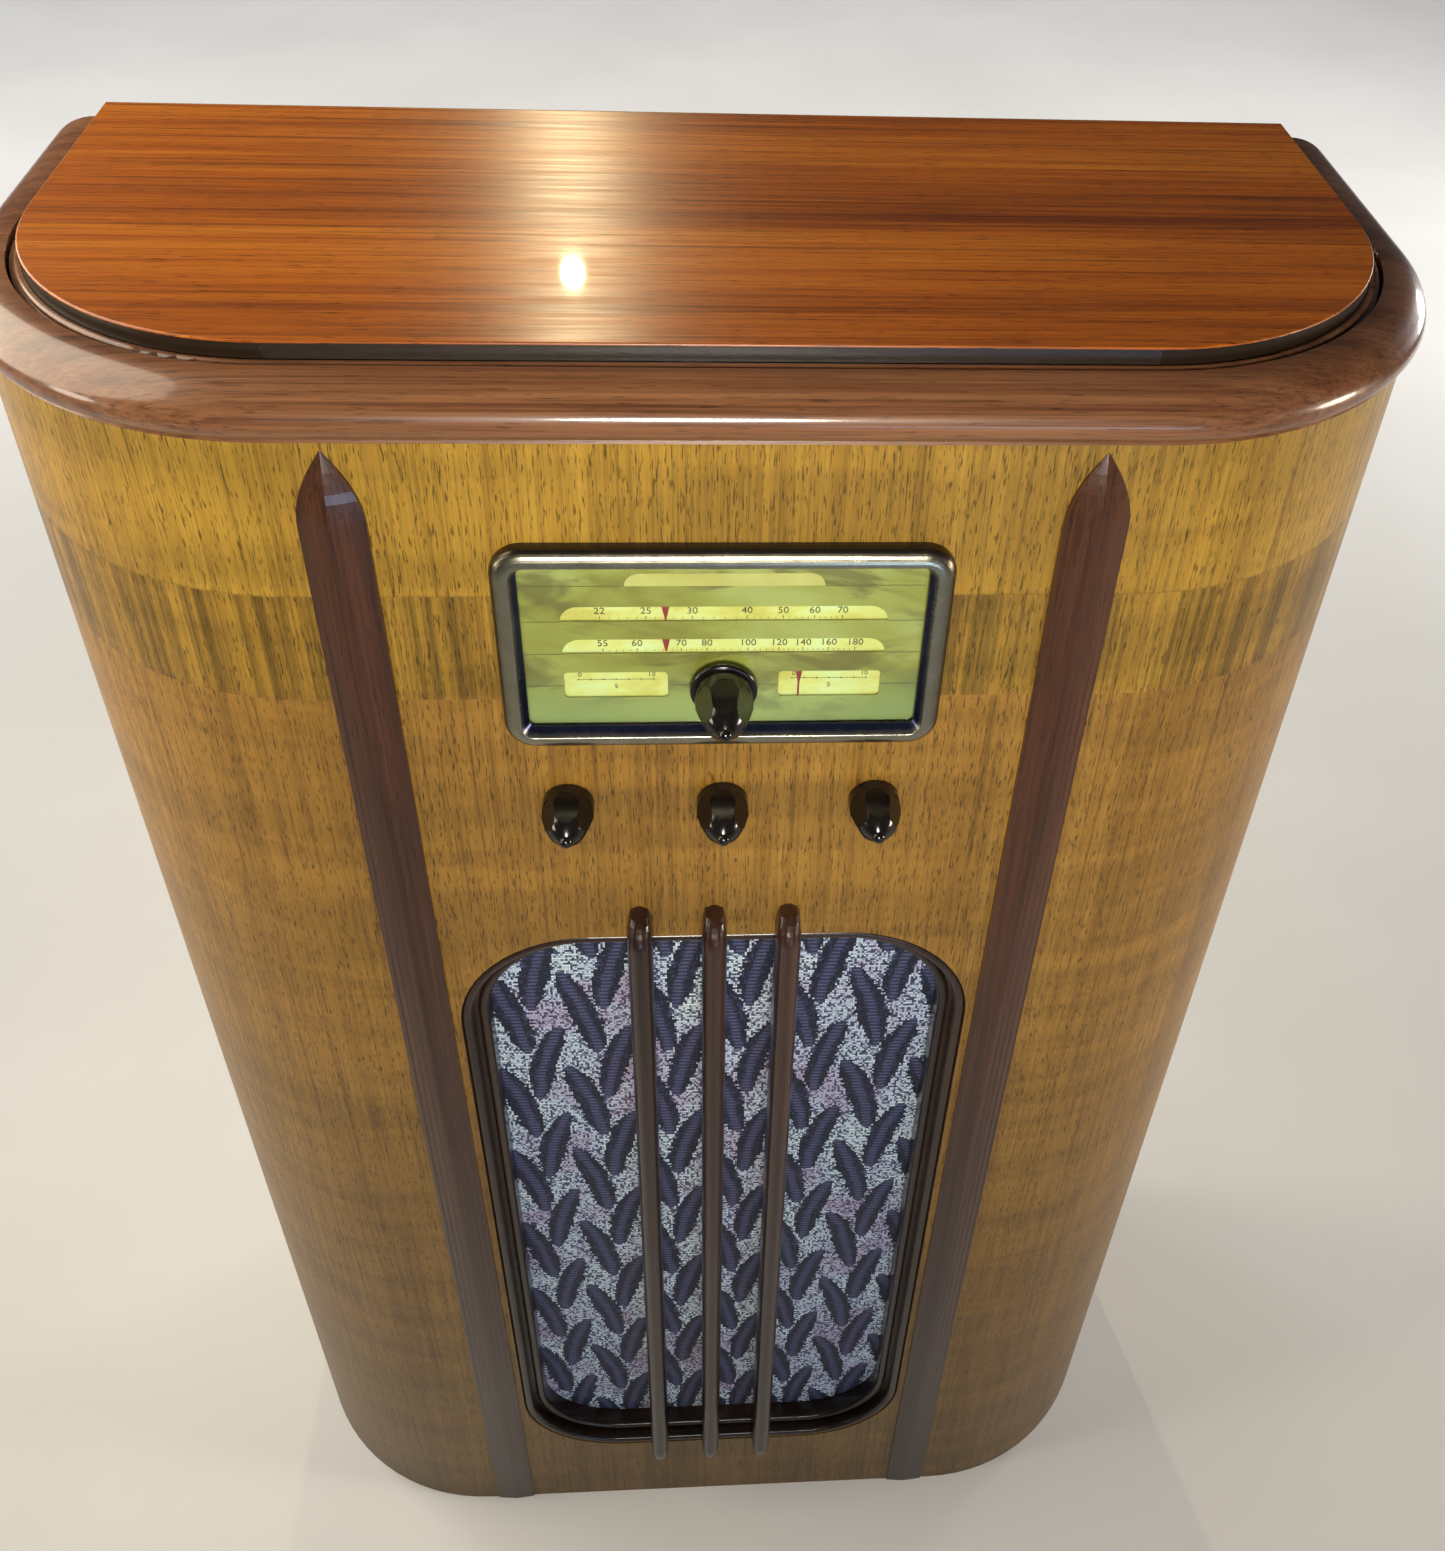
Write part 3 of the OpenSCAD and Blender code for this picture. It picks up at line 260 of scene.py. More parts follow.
def top_board():
    """Ribbon-striped top veneer under gloss lacquer, with a black edge below its arris.

    Its fibres draw reflections out to front and back. The underside and the back are bare."""
    arris, board, back_face = 0.0010, 0.010, 0.0008
    g, colour = wood("top_veneer", srgb(104, 46, 4), srgb(164, 86, 14), srgb(192, 114, 28), grain="x",
                     pore=0.8, gloss=0.04, coat=0.05, body=0.34, lines=0.7)
    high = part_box("top_panel")[1]
    _, y, z = g.axes(g.place())
    edge = g.math("LESS_THAN", z, high[2] - arris)
    colour = g.mix(edge, colour, srgb(34, 24, 14))
    hidden = g.math("MAXIMUM", g.math("LESS_THAN", z, high[2] - board),
                    g.math("GREATER_THAN", y, high[1] - back_face))
    fibre = g.noise(g.mapped(g.place(), (9, 300, 300)), 1.0, 4, 0.6)
    colour = g.mix(hidden, colour, g.ramp(fibre, (0.35, srgb(112, 84, 52)), (0.65, srgb(160, 128, 86))))
    across = g.add("CombineXYZ", {"Y": 1.0}).outputs[0]
    rough = g.mix(hidden, g.ramp(fibre, (0.3, 0.30), (0.7, 0.40)), (0.8, 0.8, 0.8))
    return g.finish(Base_Color=colour, Anisotropic=0.7, Tangent=across, Roughness=rough,
                    Coat_Weight=g.times(g.minus(1.0, hidden), 0.05))


def solid_wood(name, dark, mid, light, **settings):
    """Lacquered solid wood, as wood() makes it."""
    return wood(name, dark, mid, light, **settings)[0].finish(Specular_IOR_Level=0.28)


def bare_wood(name, dark, mid, light, grain="z"):
    """Sawn, unlacquered wood for the inside of the cabinet."""
    g, colour = wood(name, dark, mid, light, grain=grain, gloss=0.6, coat=0.0)
    dust = g.noise(g.place(), 9.0, 5, 0.6)
    colour = g.mix(g.ramp(dust, (0.4, 0.0), (0.75, 0.35)), colour, srgb(120, 108, 90))
    return g.finish(Base_Color=colour, Roughness=0.8)


def bakelite():
    """Polished black-brown bakelite with hairline scratches."""
    g = Graph("black_bakelite")
    where = g.place()
    cloud = g.noise(where, 90.0, 4, 0.6)
    colour = g.ramp(cloud, (0.3, srgb(12, 10, 9)), (0.7, srgb(24, 19, 17)))
    scratch = g.noise(g.mapped(where, (900, 120, 900)), 1.0, 2, 0.6)
    rough = g.ramp(g.mix(0.5, scratch, cloud), (0.35, 0.10), (0.7, 0.24))
    normal = g.bump(scratch, 0.00003, 0.25)
    return g.finish(Base_Color=colour, Roughness=rough, Normal=normal, IOR=1.5)


def metal(name, low, high, rough=(0.25, 0.5), grime=0.3, grime_colour=(0.03, 0.025, 0.02)):
    """Bare or plated metal with a fine grain and grime in the hollows of a cloud pattern."""
    g = Graph(name)
    where = g.place()
    cloud = g.noise(where, 60.0, 5, 0.6, 0.3)
    fine = g.noise(g.mapped(where, (600, 600, 600)), 1.0, 3, 0.6)
    colour = g.ramp(g.mix(0.3, cloud, fine), (0.3, low), (0.7, high))
    spots = g.ramp(g.noise(where, 21.0, 6, 0.7), (0.52, 0.0), (0.72, grime))
    colour = g.mix(spots, colour, grime_colour)
    roughness = g.ramp(g.mix(0.5, cloud, fine), (0.3, rough[0]), (0.7, rough[1]))
    normal = g.bump(fine, 0.00005, 0.3)
    return g.finish(Base_Color=colour, Metallic=1.0, Roughness=roughness, Normal=normal)


def enamel(name, low, high, rough=0.35):
    """Paint, japanning or a moulded surface, with orange peel and dust."""
    g = Graph(name)
    where = g.place()
    cloud = g.noise(where, 40.0, 5, 0.6)
    colour = g.ramp(cloud, (0.3, low), (0.7, high))
    dust = g.ramp(g.noise(where, 14.0, 6, 0.7), (0.5, 0.0), (0.8, 0.35))
    colour = g.mix(dust, colour, srgb(128, 118, 100))
    peel = g.noise(where, 900.0, 2, 0.5)
    normal = g.bump(peel, 0.00008, 0.5)
    roughness = g.ramp(dust, (0.0, rough), (0.4, min(0.9, rough + 0.35)))
    return g.finish(Base_Color=colour, Roughness=roughness, Normal=normal)


def antique_bronze():
    """Dark gunmetal, pale brass on its crown where it is worn and where a highlight is painted, with a
    painted blue reflection on its inner bevel, for the dial frame.
    """
    crown_depth, rim = 0.0030, 0.0075
    g = Graph("antique_bronze")
    where = g.place()
    low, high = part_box("dial_escutcheon")
    x, y, z = g.axes(where)
    crown = g.minus(low[1] + crown_depth, y)
    patch = g.noise(where, 120.0, 5, 0.65, 0.3)
    fine = g.noise(where, 600.0, 3, 0.6)
    # The crown turns pale brass: partly worn metal, partly a painted highlight along the front of the frame.
    worn = g.plus(g.times(crown, 120.0), g.times(g.minus(patch, 0.5), 0.15))
    wear_and_highlight = g.ramp(worn, (0.05, 0.0), (0.50, 1.0))
    # Painted reflection: the inner bevel is tinted blue, as a cool light would mirror in it.
    aside = []
    for part, axis in ((x, 0), (z, 2)):
        off = g.math("ABSOLUTE", g.minus(part, (low[axis] + high[axis]) / 2))
        aside.append(g.minus(off, (high[axis] - low[axis]) / 2 - rim))
    bevel = g.math("LESS_THAN", g.math("MAXIMUM", *aside), 0.0)
    colour = g.mix(bevel, srgb(80, 74, 62), srgb(58, 62, 92))
    colour = g.mix(wear_and_highlight, colour, srgb(182, 176, 152))
    colour = g.mix(g.ramp(fine, (0.55, 0.0), (0.8, 0.3)), colour, srgb(60, 54, 48))
    roughness = g.ramp(g.mix(0.5, patch, fine), (0.3, 0.20), (0.7, 0.30))
    return g.finish(Base_Color=colour, Metallic=0.95, Roughness=roughness,
                    Normal=g.bump(fine, 0.00001, 0.2))


def clear_glass(name, tint=(0.97, 1.0, 0.97), haze=0.05):
    """Thin clear glass that lets light straight through and keeps a soft reflection."""
    g = Graph(name)
    smear = g.noise(g.place(), 35.0, 4, 0.6)
    rough = g.ramp(smear, (0.3, haze * 0.4), (0.8, haze * 2.5))
    through = g.add("BsdfTransparent", {"Color": tint})
    shine = g.add("BsdfGlossy", {"Color": (1, 1, 1), "Roughness": rough})
    fresnel = g.add("Fresnel", {"IOR": 1.5})
    front = g.minus(1.0, g.add("NewGeometry").outputs["Backfacing"])
    film = g.plus(g.times(fresnel.outputs[0], 0.9), g.times(smear, 0.02))
    film = g.times(film, front)
    both = g.add("MixShader", {0: film, 1: through.outputs[0], 2: shine.outputs[0]})
    out = next(n for n in g.tree.nodes if n.type == "OUTPUT_MATERIAL")
    g.tree.links.new(both.outputs[0], out.inputs[0])
    return g.mat


def dial_olive():
    """Aged olive dial print: brown stains in drawn-out patches, and a painted pale green reflection of the
    glass along the foot.
    """
    g = Graph("dial_olive")
    where = g.place()
    low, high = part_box("dial_mask")
    height = g.math("DIVIDE", g.minus(g.axes(where)[2], low[2]), high[2] - low[2])
    blot = g.noise(g.mapped(where, (16, 16, 44), (1.3, 0, 4.2)), 1.0, 5, 0.6, 0.8)
    pale = g.noise(g.mapped(where, (12, 12, 24), (3, 1, 7)), 1.0, 4, 0.55, 0.4)
    fine = g.noise(where, 1400.0, 2, 0.5)
    colour = g.ramp(pale, (0.38, srgb(132, 126, 52)), (0.5, srgb(154, 152, 70)),
                    (0.62, srgb(170, 172, 98)))
    colour = g.mix(g.ramp(blot, (0.50, 0.0), (0.60, 0.75)), colour, srgb(104, 94, 46))
    # Painted reflection: a pale green glare of the glass, strongest at the foot of the dial.
    haze = g.ramp(g.plus(height, g.times(pale, 0.3)), (0.18, 0.75), (0.50, 0.0))
    colour = g.mix(haze, colour, srgb(150, 168, 110))
    colour = g.mix(0.10, colour, g.ramp(fine, (0.3, 0.4), (0.7, 1.0)), "MULTIPLY")
    return g.finish(Base_Color=colour, Roughness=0.42, Normal=g.bump(fine, 0.00002, 0.3))


def dial_cream():
    """Translucent pale yellow celluloid behind the windows, with a faint painted glow standing for light from
    behind.
    """
    g = Graph("dial_cream")
    where = g.place()
    cloud = g.noise(g.mapped(where, (30, 30, 60)), 1.0, 4, 0.6)
    colour = g.ramp(cloud, (0.35, srgb(196, 182, 88)), (0.5, srgb(212, 208, 122)),
                    (0.65, srgb(212, 222, 158)))
    # Painted light: a faint emission makes the celluloid glow as if lit from behind.
    return g.finish(Base_Color=colour, Roughness=0.35, Emission_Color=colour, Emission_Strength=0.12,
                    Normal=g.bump(g.noise(where, 700.0, 2), 0.00002, 0.3))


def ink(name, colour):
    """Thin print, paler where it has worn."""
    g = Graph(name)
    wear = g.noise(g.place(), 900.0, 3, 0.6)
    full, worn = tuple(c * 0.8 for c in colour), tuple(min(1, c * 1.6 + 0.03) for c in colour)
    return g.finish(Base_Color=g.ramp(wear, (0.3, full), (0.75, worn)), Roughness=0.6)


def leaf(g, u, v, size, centre, tilt, bow, pitch):
    """One leaf of a lattice, in millimetres: below 1 inside it, and the distance from its midrib.

    The leaf leans by tilt and is bowed sideways like a feather."""
    width, length = size
    a = g.math("WRAP", g.minus(u, centre[0]), pitch[0] / 2, -pitch[0] / 2)
    b = g.math("WRAP", g.minus(v, centre[1]), pitch[1] / 2, -pitch[1] / 2)
    c, s = math.cos(tilt), math.sin(tilt)
    across = g.plus(g.times(a, c), g.times(b, s))
    along = g.minus(g.times(b, c), g.times(a, s))
    reach = g.math("DIVIDE", along, length / 2)
    belly = g.math("MAXIMUM", g.minus(1.0, g.times(reach, reach)), 0.0001)
    across = g.math("ABSOLUTE", g.minus(across, g.times(belly, bow)))
    edge = g.times(g.math("POWER", belly, 0.48), width / 2)
    return g.math("DIVIDE", across, g.math("MAXIMUM", edge, 0.05)), across


def jacquard():
    """Silver grille cloth with dark feathers, each with a lilac rib, that lean left and right in turn."""
    g = Graph("grille_jacquard")
    where = g.place()
    x, _, z = g.axes(where)
    u, v = g.times(x, 1000.0), g.times(z, 1000.0)
    warp_pitch, weft_pitch = 1.2, 1.5
    wob = g.times(g.minus(g.noise(where, 50.0, 3, 0.6), 0.5), 5.0)
    snap_u, snap_v = g.math("SNAP", u, warp_pitch), g.math("SNAP", v, weft_pitch)
    thread = g.add("CombineXYZ", {"X": snap_u, "Y": snap_v}).outputs[0]
    speck = g.add("TexWhiteNoise", {"Vector": thread}, noise_dimensions="3D").outputs["Value"]
    su, sv = g.plus(snap_u, wob), g.plus(snap_v, wob)
    pitch = (40.0, 83.0)
    back, back_rib = leaf(g, su, sv, (17.6, 74), (-116.0, 331.5), math.radians(14.5), 3.0, pitch)
    fore, fore_rib = leaf(g, su, sv, (17.2, 70), (-95.0, 286.5), math.radians(-12.5), -3.0, pitch)
    near = g.math("MINIMUM", back, fore)
    jagged = g.plus(near, g.times(g.minus(speck, 0.5), 0.30))
    inside = g.ramp(jagged, (0.94, 1.0), (1.0, 0.0))
    rib = g.plus(g.math("MINIMUM", back_rib, fore_rib), g.times(speck, 1.2))
    row = g.math("LESS_THAN", g.math("FRACT", g.math("DIVIDE", v, 2 * weft_pitch)), 0.5)
    rib_mask = g.times(g.ramp(g.math("DIVIDE", rib, 5.0), (0.45, 1.0), (0.75, 0.0)), inside)
    tint = g.noise(where, 22.0, 3, 0.6)
    silver = g.ramp(tint, (0.38, srgb(234, 250, 255)), (0.5, srgb(222, 238, 255)),
                    (0.64, srgb(206, 194, 222)))
    shade = g.ramp(tint, (0.4, srgb(60, 74, 106)), (0.62, srgb(80, 70, 104)))
    ground = g.mix(g.ramp(speck, (0.26, 1.0), (0.56, 0.0)), silver, shade)
    ground = g.mix(g.times(row, 0.22), ground, shade)
    navy = g.ramp(tint, (0.38, srgb(8, 18, 46)), (0.62, srgb(19, 19, 46)))
    dark = g.mix(g.ramp(speck, (0.72, 0.0), (1.0, 0.6)), navy, srgb(62, 80, 124))
    colour = g.mix(inside, ground, dark)
    lilac = g.mix(row, srgb(118, 118, 160), srgb(56, 60, 102))
    colour = g.mix(g.times(rib_mask, 0.55), colour, lilac)
    warp = g.math("ABSOLUTE", g.math("SINE", g.times(u, math.pi / warp_pitch)))
    weft = g.math("ABSOLUTE", g.math("SINE", g.times(v, math.pi / weft_pitch)))
    # Painted shade: the colour darkens in the gaps between the threads.
    thread_gap_shade = g.times(g.math("POWER", weft, 0.8), g.math("POWER", warp, 0.4))
    colour = g.mix(0.9, colour, g.ramp(thread_gap_shade, (0.0, 0.12), (0.5, 1.0)), "MULTIPLY")
    height = g.plus(g.times(weft, 0.6), g.times(warp, 0.4))
    height = g.plus(height, g.times(inside, -0.7))
    g.finish(Base_Color=colour, Roughness=0.62, Normal=g.bump(height, 0.0004, 0.9))
    g.put(g.shader.inputs["Sheen Weight"], 0.06)
    return g.mat


def paper_cone():
    """Dark felted paper with pressed rings."""
    ring_pitch = 0.009
    g = Graph("paper_cone")
    where = g.place()
    low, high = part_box("speaker_cone")
    centre = (low + high) / 2
    x, _, z = g.axes(g.mapped(where, location=(-centre[0], 0, -centre[2])))
    rings = g.math("SINE", g.times(g.hypot(x, z), 2 * math.pi / ring_pitch))
    felt = g.noise(where, 500.0, 3, 0.7)
    colour = g.ramp(felt, (0.3, srgb(36, 33, 30)), (0.7, srgb(70, 64, 56)))
    height = g.plus(g.times(rings, 0.3), felt)
    return g.finish(Base_Color=colour, Roughness=0.9, Normal=g.bump(height, 0.0008, 0.6))


def braid(name, low, high, pitch=0.0011):
    """Cotton-braided lead or dial cord: two crossed sets of strands."""
    g = Graph(name)
    where = g.place()
    one, two = (g.add("TexWave", {"Vector": g.mapped(where, rotation=turn), "Scale": 0.16 / pitch,
                                  "Distortion": 1.0}).outputs[0]
                for turn in ((0.5, 0.6, 0.7), (-0.5, -0.6, 0.9)))
    plait = g.mix(1.0, one, two, "MULTIPLY")
    colour = g.ramp(plait, (0.0, low), (0.6, high))
    return g.finish(Base_Color=colour, Roughness=0.85, Normal=g.bump(plait, 0.0003, 0.6))


def paint(material, *node_names):
    """Puts one material on every material slot of these CAD nodes."""
    for name in node_names:
        slots = nodes[name].data.materials
        if not slots:
            slots.append(material)
        for i in range(len(slots)):
            slots[i] = material


def finish_nodes():
    """The finish of every CAD node that stays visible."""
    paint(cabinet_skin(), "cabinet_wrap")
    paint(top_board(), "top_panel")
    paint(solid_wood("cap_mahogany", srgb(70, 40, 22), srgb(108, 68, 42), srgb(134, 92, 60), grain="x",
                     gloss=0.08, coat=0.45, body=0.3), "cap_moulding")
    # foot=0.40 paints shade on the pilasters, bars and moulding towards the floor.
    trim = dict(gloss=0.08, coat=0.35, body=0.32, foot=0.40)
    paint(solid_wood("pilaster_mahogany", srgb(40, 21, 12), srgb(66, 38, 22), srgb(86, 52, 32), **trim),
          "left_pilaster", "right_pilaster")
    paint(solid_wood("bar_wood", srgb(30, 16, 10), srgb(52, 30, 20), srgb(70, 42, 28), **trim),
          "grille_bar_left", "grille_bar_centre", "grille_bar_right")
    paint(solid_wood("moulding_wood", srgb(30, 19, 12), srgb(50, 33, 22), srgb(68, 46, 31), **trim),
          "grille_moulding")
    pine = (srgb(120, 88, 52), srgb(160, 122, 78), srgb(186, 150, 104))
    paint(bare_wood("bare_pine", *pine, grain="y"), "corner_blocks")
    paint(bare_wood("bare_batten", *pine), "baffle_battens")
    paint(bare_wood("bare_board", srgb(104, 76, 46), srgb(140, 106, 68), srgb(168, 134, 92), grain="x"),
          "bottom_board", "chassis_shelf")
    paint(bare_wood("bare_ply", srgb(110, 82, 50), srgb(146, 112, 72), srgb(172, 138, 96)),
          "speaker_baffle")
    paint(antique_bronze(), "dial_escutcheon")
    paint(clear_glass("dial_glass"), "dial_glass")
    paint(dial_olive(), "dial_mask")
    paint(dial_cream(), "dial_scale")
    paint(enamel("pointer_red", srgb(112, 34, 40), srgb(158, 52, 58), 0.4),
          "tuning_pointer", "volume_pointer", "tone_pointer")
    paint(metal("cadmium_plate", srgb(120, 118, 104), srgb(176, 172, 154), (0.3, 0.55), 0.35,
                srgb(70, 58, 40)),
          "pointer_rails", "dial_bracket", "tuning_shaft", "volume_shaft", "band_shaft", "tone_shaft",
          "dial_drum", "capacitor_frame", "chassis_pan", "chassis_bolts", "speaker_bolts")
    paint(metal("turned_brass", srgb(150, 112, 48), srgb(206, 168, 88), (0.2, 0.4)), "shaft_bushings")
    paint(bakelite(), "tuning_knob", "volume_knob", "band_knob", "tone_knob", "tube_sockets")
    paint(enamel("grey_enamel", srgb(66, 68, 66), srgb(90, 92, 88), 0.4),
          "potentiometers", "speaker_basket", "output_transformer")
    paint(enamel("brown_laminate", srgb(92, 52, 24), srgb(124, 74, 36)), "band_switch", "rear_terminals")
    paint(solid_wood("turned_pulley", srgb(120, 84, 46), srgb(150, 110, 64), srgb(176, 136, 84), grain="y"),
          "idler_left", "idler_right")
    paint(braid("dial_cord", srgb(120, 104, 70), srgb(196, 178, 132), 0.0006), "dial_cord", "control_cords")
    paint(braid("speaker_braid", srgb(52, 28, 14), srgb(118, 72, 38)), "speaker_lead")
    paint(metal("stamped_aluminium", srgb(150, 152, 154), srgb(206, 208, 208), (0.3, 0.5), 0.25,
                srgb(90, 86, 78)),
          "capacitor_rotor", "capacitor_stator", "coil_cans", "filter_capacitors")
    paint(enamel("black_japan", srgb(22, 22, 23), srgb(40, 40, 40), 0.3),
          "power_transformer", "field_magnet", "metal_tubes")
    paint(clear_glass("valve_glass", (0.99, 0.97, 0.92), 0.03), "dial_lamps", "glass_tubes")
    paint(paper_cone(), "speaker_cone")


# ---------- meshes ----------


def mesh_piece(name, verts, faces, material, body, smooth=False):
    """A new mesh that moves with the body and carries the given material."""
    data = bpy.data.meshes.new(name)
    data.from_pydata([tuple(v) for v in verts], [], faces)
    data.update()
    obj = bpy.data.objects.new(name, data)
    bpy.context.scene.collection.objects.link(obj)
    data.materials.append(material)
    if smooth:
        for p in data.polygons:
            p.use_smooth = True
    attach(obj, body)
    return obj


def grille_cloth():
    """One stretched sheet with a faint slack between its glued edges."""
    low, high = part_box("grille_cloth")
    thick = high[1] - low[1]
    width, length = high[0] - low[0], high[2] - low[2]
    corner = 0.068
    nx, nz = 68, 146
    front = low[1] + thick * 0.35
    sag = thick * 0.3
    smallest = 1e-9

    def point(x, z):
        slack = math.sin(math.pi * (x - low[0]) / width) * math.sin(math.pi * (z - low[2]) / length)
        pucker = 0.5 * math.sin(x * 310 + 2.0 * math.sin(z * 40)) * (1 - slack)
        return (x, front - sag * slack + sag * 0.3 * pucker, z)

    def fitted(x, z):
        """The grid point, drawn in to the rounded corner if it lies past it."""
        cx = min(max(x, low[0] + corner), high[0] - corner)
        cz = min(max(z, low[2] + corner), high[2] - corner)
        d = math.hypot(x - cx, z - cz)
        if d <= corner:
            return x, z
        return cx + (x - cx) * corner / d, cz + (z - cz) * corner / d

    verts = [point(*fitted(low[0] + width * i / nx, low[2] + length * j / nz))
             for j in range(nz + 1) for i in range(nx + 1)]
    faces = []
    for j in range(nz):
        for i in range(nx):
            first = j * (nx + 1) + i
            quad = [first, first + 1, first + nx + 2, first + nx + 1]
            a, b, c, d = (Vector(verts[q]) for q in quad)
            if (b - a).cross(c - a).length + (c - a).cross(d - a).length > smallest:
                faces.append(quad)
    cloth = mesh_piece("woven_grille_cloth", verts, faces, jacquard(), "cabinet",
                       smooth=True)
    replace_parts(cloth, "grille_cloth")


def lathe(profile, centre, turns=40):
    """Vertices and faces of a profile, in (radius, height) millimetres, turned about an upright axis."""
    verts = [(centre[0] + r * MM * math.cos(2 * math.pi * k / turns),
              centre[1] + r * MM * math.sin(2 * math.pi * k / turns), centre[2] + z * MM)
             for r, z in profile for k in range(turns)]
    faces = []
    for row in range(0, (len(profile) - 1) * turns, turns):
        for k in range(turns):
            after = (k + 1) % turns
            faces.append((row + k, row + after, row + turns + after, row + turns + k))
    return verts, faces


def turned_set(name, profiles, centres, material):
    """One smooth piece made of the same turned profiles at each centre."""
    verts, faces = [], []
    for centre in centres:
        for profile in profiles:
            more, skin = lathe(profile, centre)
            faces += [tuple(len(verts) + i for i in face) for face in skin]
            verts += more
    return mesh_piece(name, verts, faces, material, "cabinet", smooth=True)


def glass_valves():
    """Two shouldered glass valves: base, envelope, anode on its stem, micas and the silvered getter.

    The profiles are (radius, height) in millimetres from the socket, and start or end close to the axis."""
    low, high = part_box("glass_tubes")
    wide, axis = 0.024, 0.05
    centres = [(x, (low[1] + high[1]) / 2, low[2]) for x in (low[0] + wide, high[0] - wide)]
    base = [(axis, 0), (16.4, 0), (17, 0.8), (17, 12), (16.6, 12.4), (16.6, 13), (17, 13.4), (17, 26),
            (16, 28), (axis, 28)]
    bulb = [(14.4, 28), (14.6, 36), (17.4, 43), (21.6, 49), (23.6, 55), (22.9, 62), (19.4, 69), (15.0, 74),
            (13.0, 80), (12.9, 95), (12.2, 100), (10.0, 104.5), (6.4, 107.4), (2.6, 108.6), (axis, 108.8)]
    anode = [(6.5, 44), (9.0, 45), (9.4, 46), (9.4, 60), (9.9, 61), (9.4, 62), (9.4, 76), (9.0, 77),
             (6.5, 78)]
    stem = [(axis, 28), (7.0, 28), (6.0, 34), (3.0, 41), (axis, 41)]
    micas = [[(axis, z), (12.2, z), (12.2, z + 0.4), (axis, z + 0.4)] for z in (41.5, 79.5)]
    getter = [(10.6, 101.5), (9.2, 104), (6.0, 106.6), (2.4, 107.8), (axis, 108.0)]
    black = nodes["tube_sockets"].data.materials[0]
    glass = nodes["dial_lamps"].data.materials[0]
    grey = enamel("anode_carbon", srgb(30, 30, 32), srgb(56, 56, 58), 0.6)
    mica = enamel("mica", srgb(186, 180, 164), srgb(214, 208, 194), 0.3)
    silver = metal("getter_silver", srgb(120, 116, 108), srgb(190, 188, 184), (0.15, 0.3))
    turned_set("valve_bases", [base], centres, black)
    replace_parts(turned_set("valve_envelopes", [bulb], centres, glass), "glass_tubes")
    turned_set("valve_anodes", [anode, stem], centres, grey)
    turned_set("valve_micas", micas, centres, mica)
    turned_set("valve_getters", [getter], centres, silver)


# ---------- dial print ----------


# How far print stands in front of its plate, in metres.
PRINT = 0.00012
# Where the numbers of the two tuning scales stand, in millimetres from the middle of the dial.
SHORT_WAVE = {22: -52.7, 25: -33.1, 30: -13.5, 40: 9.8, 50: 25.2, 60: 38.7, 70: 50.6}
MEDIUM_WAVE = {55: -52.0, 60: -37.3, 70: -18.3, 80: -7.2, 100: 10.5, 120: 24.0, 140: 34.4, 160: 45.5,
               180: 57.1}


def block(bm, x0, x1, z0, z1, back):
    """A thin flat mark printed on the plane y = back."""
    rim = ((x0, z0), (x1, z0), (x1, z1), (x0, z1))
    corners = [bm.verts.new((x, y, z)) for y in (back - PRINT, back) for x, z in rim]
    for face in ((0, 1, 2, 3), (7, 6, 5, 4), (4, 5, 1, 0), (5, 6, 2, 1), (6, 7, 3, 2), (7, 4, 0, 3)):
        bm.faces.new([corners[i] for i in face])


def tick(bm, x, half, z0, z1, back):
    """An upright mark twice half wide, centred on x."""
    block(bm, x - half, x + half, z0, z1, back)


def figure(bm, text, x, z, height, back):
    """A printed number with its centre at (x, z)."""
    digit_share = 0.70
    curve = bpy.data.curves.new("figure", "FONT")
    curve.body = text
    curve.align_x, curve.align_y = "CENTER", "CENTER"
    curve.size = height / digit_share
    curve.extrude = PRINT / 2
    curve.resolution_u = 3
    maker = bpy.data.objects.new("figure", curve)
    bpy.context.scene.collection.objects.link(maker)
    bpy.context.view_layer.update()
    mesh = bpy.data.meshes.new_from_object(maker.evaluated_get(bpy.context.evaluated_depsgraph_get()))
    mesh.transform(Matrix.Translation((x, back - PRINT / 2, z)) @ Matrix.Rotation(math.pi / 2, 4, "X"))
    bm.from_mesh(mesh)
    bpy.data.objects.remove(maker)
    bpy.data.curves.remove(curve)
    bpy.data.meshes.remove(mesh)


def printed(name, bm, material):
    """Turns the marks into one piece of the dial."""
    data = bpy.data.meshes.new(name)
    bm.to_mesh(data)
    bm.free()
    obj = bpy.data.objects.new(name, data)
    bpy.context.scene.collection.objects.link(obj)
    data.materials.append(material)
    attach(obj, "cabinet")


